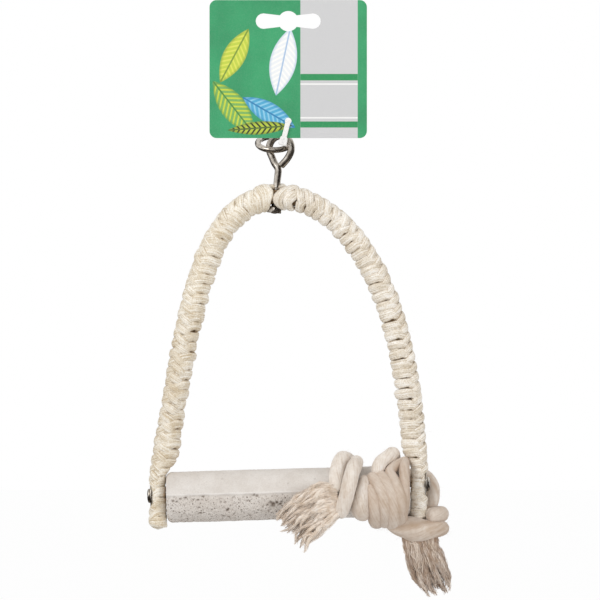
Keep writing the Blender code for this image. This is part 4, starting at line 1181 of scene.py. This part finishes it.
# each strand: its node, then routes of (place along the perch, turn, lift, radius)
strands = dict(
    ropeStrand1=("rope_strand_1", [
        [(46.0, 262, -1.6, 3.4), (43.0, 230, -0.6, 3.6), (37.5, 195, 0, 3.75), (33.6, 160, 0, 3.75),
         (31.4, 130, 0.2, 3.75), (28.2, 93, 0.3, 3.8), (25.2, 54, 0.4, 3.8), (23.8, 24, 0.4, 3.75),
         (23.9, 2, 0.4, 3.6)]]),
    ropeStrand2=("rope_strand_2", [
        [(24.6, -34, 2.0, 3.2), (26.4, -20, 3.6, 3.5), (28.3, -4, 5.2, 3.65), (30.2, 14, 5.8, 3.65),
         (32.0, 32, 4.4, 3.65), (33.1, 46, 2.2, 3.6), (33.9, 60, 0.2, 3.4), (34.4, 78, -0.6, 3.2)]]),
    ropeStrand3=("rope_strand_3", [
        [(38.2, 34, -1.8, 2.2), (37.4, 19, -0.8, 2.8), (36.2, 3, 0.2, 3.6), (35.4, -13, 0.4, 4.3),
         (35.2, -27, 0.2, 4.6), (36.6, -38, -0.8, 4.2), (39.4, -44, -1.8, 3.4)]]),
    ropeWrap1=("rope_wrap_1", [
        [(39.4, 16, -1.6, 3.0), (41.0, 1, -0.4, 3.6), (42.1, -15, 0.0, 4.0), (42.5, -34, 0.0, 4.1),
         (42.9, -58, -0.8, 3.9), (43.6, -86, -2.0, 3.5), (43.0, -130, -0.8, 3.6), (41.8, -178, 0, 3.7),
         (39.6, -200, -0.5, 3.4), (36.8, -212, -1.2, 2.8), (34.8, -217, -1.6, 2.2)]]),
    ropeWrap2=("rope_wrap_2", [
        [(39.8, 36, -1.6, 2.6), (43.2, 20, -0.1, 3.4), (46.0, 2, 0.5, 3.7), (47.2, -16, 0.6, 3.9),
         (47.6, -35, 0.3, 3.9), (47.2, -58, -0.6, 3.7), (47.2, -88, -2.0, 3.2), (47.6, -130, -0.8, 3.4)],
        [(43.4, 40, -1.4, 2.6), (47.2, 22, 0.0, 3.4), (50.4, 2, 0.6, 3.6), (51.6, -16, 0.8, 3.8),
         (51.8, -36, 0.8, 3.9), (51.0, -60, 0.2, 3.8), (50.6, -86, -1.2, 3.6), (50.0, -130, -0.4, 3.7),
         (49.6, -178, 0, 3.7), (50.6, -203, -0.6, 3.3), (52.0, -220, -1.4, 2.6), (53.0, -228, -1.8, 2.0)]]),
    ropeWrap3=("rope_wrap_3", [
        [(59.4, 88, -2.0, 2.4), (56.6, 71, -1.6, 2.6), (52.4, 52, -1.2, 2.7), (50.2, 37, -0.6, 2.8),
         (51.8, 19, 0.1, 3.2), (53.6, 4, 0.4, 3.4), (54.7, -10, 0.6, 3.5), (55.0, -22, 0.6, 3.5),
         (54.8, -42, 0.2, 3.5), (54.0, -64, -0.4, 3.4)],
        [(58.2, 80, -2.2, 1.9), (57.7, 62, -0.9, 2.4), (57.4, 46, -0.5, 2.6), (57.3, 30, -0.4, 2.65),
         (57.2, 12, -0.4, 2.65), (57.1, -5, -0.4, 2.65), (56.9, -22, -0.4, 2.5), (56.2, -42, -0.5, 2.4),
         (55.8, -66, -0.4, 2.6)]]),
    ropeBightTop=("rope_bight_top", [
        [(43.6, 32, -1.4, 2.8), (44.4, 44, 0.4, 3.3), (46.2, 57, 1.0, 3.5), (49.4, 69, 1.5, 3.6),
         (51.6, 82, 1.9, 3.6), (52.4, 97, 1.3, 3.5), (52.6, 118, 0.2, 3.5), (53.2, 150, -0.3, 3.5),
         (54.6, 190, -0.2, 3.5), (55.6, 235, -0.4, 3.4), (55.6, 270, -1.0, 3.2)]]))
# each bight: its node, then routes of (place from the right foot, depth, height, radius)
bights = dict(
    ropeBightBack=("rope_bight_back", [
        [(-16, 14.6, 7.4, 3.2), (-12, 16.9, 3.5, 3.6), (-8.0, 16.9, 4.6, 3.7), (-2.0, 13.8, 7.0, 3.7),
         (3.6, 11.2, 6.4, 3.6), (6.9, 9.8, 1.6, 3.5), (6.6, 10.0, -5.6, 3.5), (3.6, 10.8, -10.4, 3.4)]]),
    ropeBightRight=("rope_bight_right", [
        [(-6, 12.4, -9.6, 3.4), (0.6, 10.4, -10.8, 3.7), (6.5, 8.4, -11.6, 3.9), (10.7, 3.4, -12.0, 3.9),
         (8.0, -1.8, -12.2, 3.9), (3.2, -4.4, -12.8, 3.6)]]),
    ropeBightLow=("rope_bight_low", [
        [(-16.5, -7.5, -13.2, 2.8), (-12, -6.6, -16.2, 4.5), (-6, -5.6, -17.9, 5.7),
         (0.0, -4.8, -19.2, 5.6), (6.5, -3.8, -19.2, 4.6), (11.2, 0.8, -18.9, 3.6),
         (8.5, 6.4, -19.2, 3.7), (0, 9.5, -18.6, 3.6), (-8, 8.0, -17.0, 3.2)]]))


def onPerch(x, turn, lift):
    reach = rope["seat"] + rope["lie"] + lift
    a = math.radians(turn)
    return np.array([x, -reach * math.cos(a), reach * math.sin(a)])


def layNoise(run, angle, seed, count=2.2, drift=18):  # creases that wind along the rope
    laid = angle + rope["lay"] * run
    return softNoise(np.cos(laid) * count + run / drift, np.sin(laid) * count, seed)


def ropeShape(seed):
    def swell(run, angle):
        lump = 0.05 * softNoise(run / 8.0, np.cos(angle) * 1.2 + 5, seed)
        lump = lump + 0.03 * softNoise(run / 3.5, np.sin(angle) * 1.6, seed + 1)
        crease = 0.03 * layNoise(run, angle, seed + 2) + 0.015 * layNoise(run, angle, seed + 3, 4.0, 9)
        return 1 + lump + crease
    return swell


def grooveDepth(path, radius, across, over):  # 0 on a strand's crest, 1 well down its flanks
    angle = evenTurns(rope["sides"])[:, None]
    out = across[:, None] * np.cos(angle) + over[:, None] * np.sin(angle)
    rings = (path[:, None] + out * radius[:, None, None] - perchShift) @ perchSpin
    middle = (path - perchShift) @ perchSpin
    crest = np.hypot(middle[:, 1], middle[:, 2]) + radius
    return smoothStep((crest[:, None] - np.hypot(rings[..., 1], rings[..., 2])) / rope["grooveDeep"])


def ropeRoutes():  # every rope piece: its node and its routes of (x, y, z, radius) in the perch's frame
    routes = {}
    for name, (node, lines) in strands.items():
        fine = [smoothPath(stops, 4.0) for stops in lines]
        routes[name] = node, [[(*onPerch(*stop[:3]), stop[3]) for stop in stops] for stops in fine]
    for name, (node, lines) in bights.items():
        routes[name] = node, [[(stop[0] + rope["footX"], *stop[1:]) for stop in stops] for stops in lines]
    return routes


def addRopeHairs(store, path, radius, frames, tone, dice):
    tangents, across, over = frames
    for k in range(int(rope["hairs"] * runLengths(path)[-1] / 10)):
        at = dice.integers(4, len(path) - 4)
        turn = dice.uniform(0, tau)
        out = across[at] * math.cos(turn) + over[at] * math.sin(turn)
        root = path[at] + out * radius[at] * 0.96
        heading = tangents[at] * dice.choice((-1, 1)) + out * dice.uniform(0.1, 0.5)
        addHair(store, root, heading, dice.uniform(1.0, 2.8), rope["hair"], 0.5, dice, tone)


def makeRope():
    for seed, (name, (node, lines)) in enumerate(ropeRoutes().items()):
        dice = np.random.default_rng(40 + seed)
        store = newStore()
        pieceShade = rope["shadeTones"].get(name, 0.0)
        for part, stops in enumerate(lines):
            path = smoothPath(stops, rope["step"])
            path, radius = onPerchFrame(path[:, :3]), path[:, 3]
            run = runLengths(path)
            radius = radius * roundEnds(run, rope["ends"])
            frames = pathFrames(path)
            shape = 60 + seed * 3 + part
            # painted shade for the whole piece, varied along it; its hairs get a little less
            tone = (pieceShade + 0.12 * softNoise(run / 6.0, seed, 3))[:, None]
            if name.startswith("ropeWrap"):  # painted shade in the grooves between the wraps
                tone = tone + rope["groove"] * grooveDepth(path, radius, *frames[1:])
            # painted shade in the sunk creases and painted light on their raised sides
            creases = layNoise(run[:, None], evenTurns(rope["sides"]), shape + 2)
            tone = tone - rope["creaseTone"][name in bights] * creases
            addTube(store, path, radius, rope["sides"], tone=np.clip(tone, 0, 1), swell=ropeShape(shape),
                    lay=rope["lay"])
            addRopeHairs(store, path, radius, frames, pieceShade * 0.8, dice)
        makePiece(name, store, softCotton, "cotton", "swing", node)


# locks fan out between three routes; thick is a lock's radius at a few shares of its length; shade is the
# painted shade over the whole tuft
tassels = dict(
    left=dict(piece="ropeTasselLeft", node="rope_tassel_left", seed=71, fibre=0.13, locks=52, fibres=26,
              curl=0.85, shade=-0.12, thick=(1.35, 1.25, 0.9, 0.2),
              routes=[((23.5, -17.6, 4.2), (17.0, -19.2, 4.8), (9.0, -19.2, 1.4), (1.0, -18.4, -4.8),
                       (-8.5, -17.2, -12.0)),
                      ((24.0, -18.0, -2.5), (17.0, -19.4, -4.0), (9.0, -19.0, -8.0), (2.5, -18.2, -13.0),
                       (-3.0, -17.0, -17.8)),
                      ((25.5, -17.6, -9.2), (20.5, -18.6, -13.0), (14.5, -18.2, -18.6), (10.0, -17.4, -24.0),
                       (6.5, -16.4, -29.6))]),
    right=dict(piece="ropeTasselRight", node="rope_tassel_right", seed=83, fibre=0.15, locks=34, fibres=38,
               curl=1.0, shade=0.53, thick=(1.6, 1.45, 1.0, 0.2),
               routes=[((56.4, -3.6, -19.5), (58.4, -3.4, -30.0), (60.4, -2.4, -40.5), (67.6, -1.0, -51.6)),
                       ((63.5, -3.8, -19.5), (66.4, -4.2, -31.5), (69.2, -3.2, -42.0), (73.8, -1.0, -53.2)),
                       ((70.6, -3.4, -19.0), (74.4, -3.2, -32.0), (78.4, -2.0, -42.0), (79.6, -0.6, -50.6))]))
tuft = dict(deep=2.4, scatter=(0.9, 0.5, 0.9), step=0.9, thickAt=(0, 0.3, 0.75, 1), sides=12)


def lockPath(tassel, lock, dice):  # one wavy lock, its run lengths and its depth in the tuft
    guides = np.array(tassel["routes"])
    share = (lock + 0.5) / tassel["locks"] * 2
    low = min(int(share), 1)
    stops = guides[low] * (1 - (share - low)) + guides[low + 1] * (share - low)
    depth = dice.uniform(-tuft["deep"], tuft["deep"])
    stops = stops + np.linspace(0.4, 1, len(stops))[:, None] * np.array([0, depth, 0])
    stops[1:] += dice.normal(size=(len(stops) - 1, 3)) * np.array(tuft["scatter"])
    path = smoothPath(stops, tuft["step"])
    path = path[:max(8, int(len(path) * dice.uniform(0.82, 1.0)))]
    run = runLengths(path)
    wave = np.stack([softNoise(run / 4.2, lock + shift, tassel["seed"]) for shift in (0, 50, 90)], axis=-1)
    return path + wave * tassel["curl"] * smoothStep(run / 6.0)[:, None], run, depth


def addFibres(store, tassel, lock, path, run, body, base, dice):  # fine fibres over one lock
    across, over = pathFrames(path)[1:]
    for number in range(tassel["fibres"]):
        turn, out = dice.uniform(0, tau), dice.uniform(0.85, 1.12)
        begin = dice.integers(0, max(1, len(path) // 2))
        finish = len(path) - dice.integers(0, max(1, len(path) // 8))
        kept = slice(begin, finish, 2)
        if len(path[kept]) < 5:
            continue
        turn = (turn + 0.5 * softNoise(run[kept] / 6.0, number + lock * 9, 11))[:, None]
        way = across[kept] * np.cos(turn) + over[kept] * np.sin(turn)
        wobble = [softNoise(run[kept] / 2.4, number * 3 + lock * 7, seed) for seed in (5, 6, 7)]
        strand = path[kept] + way * (body[kept, None] * out + 0.05)
        strand = strand + np.stack(wobble, axis=-1) * 0.8 * tassel["curl"]
        addTube(store, onPerchFrame(strand), tassel["fibre"] * np.linspace(1, 0.4, len(strand)), 3,
                tone=float(np.clip(base + dice.uniform(-0.45, 0.4), 0, 1)))


def makeTassel(sideName):
    tassel = tassels[sideName]
    dice = np.random.default_rng(tassel["seed"])
    store = newStore()
    for lock in range(tassel["locks"]):
        path, run, depth = lockPath(tassel, lock, dice)
        body = np.interp(run / run[-1], tuft["thickAt"], tassel["thick"]) * dice.uniform(0.75, 1.1)
        # painted shade: deeper locks darker, and each lock's core darker than its fibres
        base = tassel["shade"] + 0.16 * depth / tuft["deep"] + dice.uniform(-0.2, 0.24)
        addTube(store, onPerchFrame(path), body, tuft["sides"], tone=base + 0.2,
                swell=lambda along, angle: 1 + 0.22 * softNoise(along / 3.0, angle * 3.0, lock))
        addFibres(store, tassel, lock, path, run, body, base, dice)
    makePiece(tassel["piece"], store, frayedCotton, "cotton", "swing", tassel["node"])


# make everything

setCamera()
setWorld()
setFloor()
setScreens()
setLamps()
print("stage set")
# the last colour of each twine and cotton finish is painted shade, laid on by the mesh's tone
sisalWarm = sisalFinish("sisalWarm", "CBB797", "EADFCB", "FFFAF0", "8E6F45")
sisalPale = sisalFinish("sisalPale", "C6B79F", "EADFCE", "FFFBF4", "907553")
softCotton = cottonFinish("softCotton", "D8CABB", "E9DFD4", "F4EDE5", "A58463")
frayedCotton = cottonFinish("frayedCotton", "DAC7B2", "EDE0D2", "FBF4EC", "7A5026", 1600)
brightNickel = nickelFinish()
milkyNylon = nylonFinish()
castMineral = mineralFinish()
dressNode("header_card", cardFinish())
dressNode("arch_core", woodFinish("darkCane", (900, 900, 60), dict(detail=3.0), "6B5236", "9A7F59",
                                  (0.85, 0.65), (0.4, 0.2)))
beech = woodFinish("plugBeech", (60, 1100, 1100), dict(detail=4.0, twist=0.6), "A9855A", "CDAA7C",
                   (0.75, 0.55), (0.3, 0.15))
for plugNode in ("perch_plug_left", "perch_plug_right"):
    dressNode(plugNode, beech)
makeTie()
makeRing()
makeBolt()
makeNut()
for armName in arms:
    makeTwine(armName)
makePerch()
makeFasteners()
makeRope()
for tasselName in tassels:
    makeTassel(tasselName)
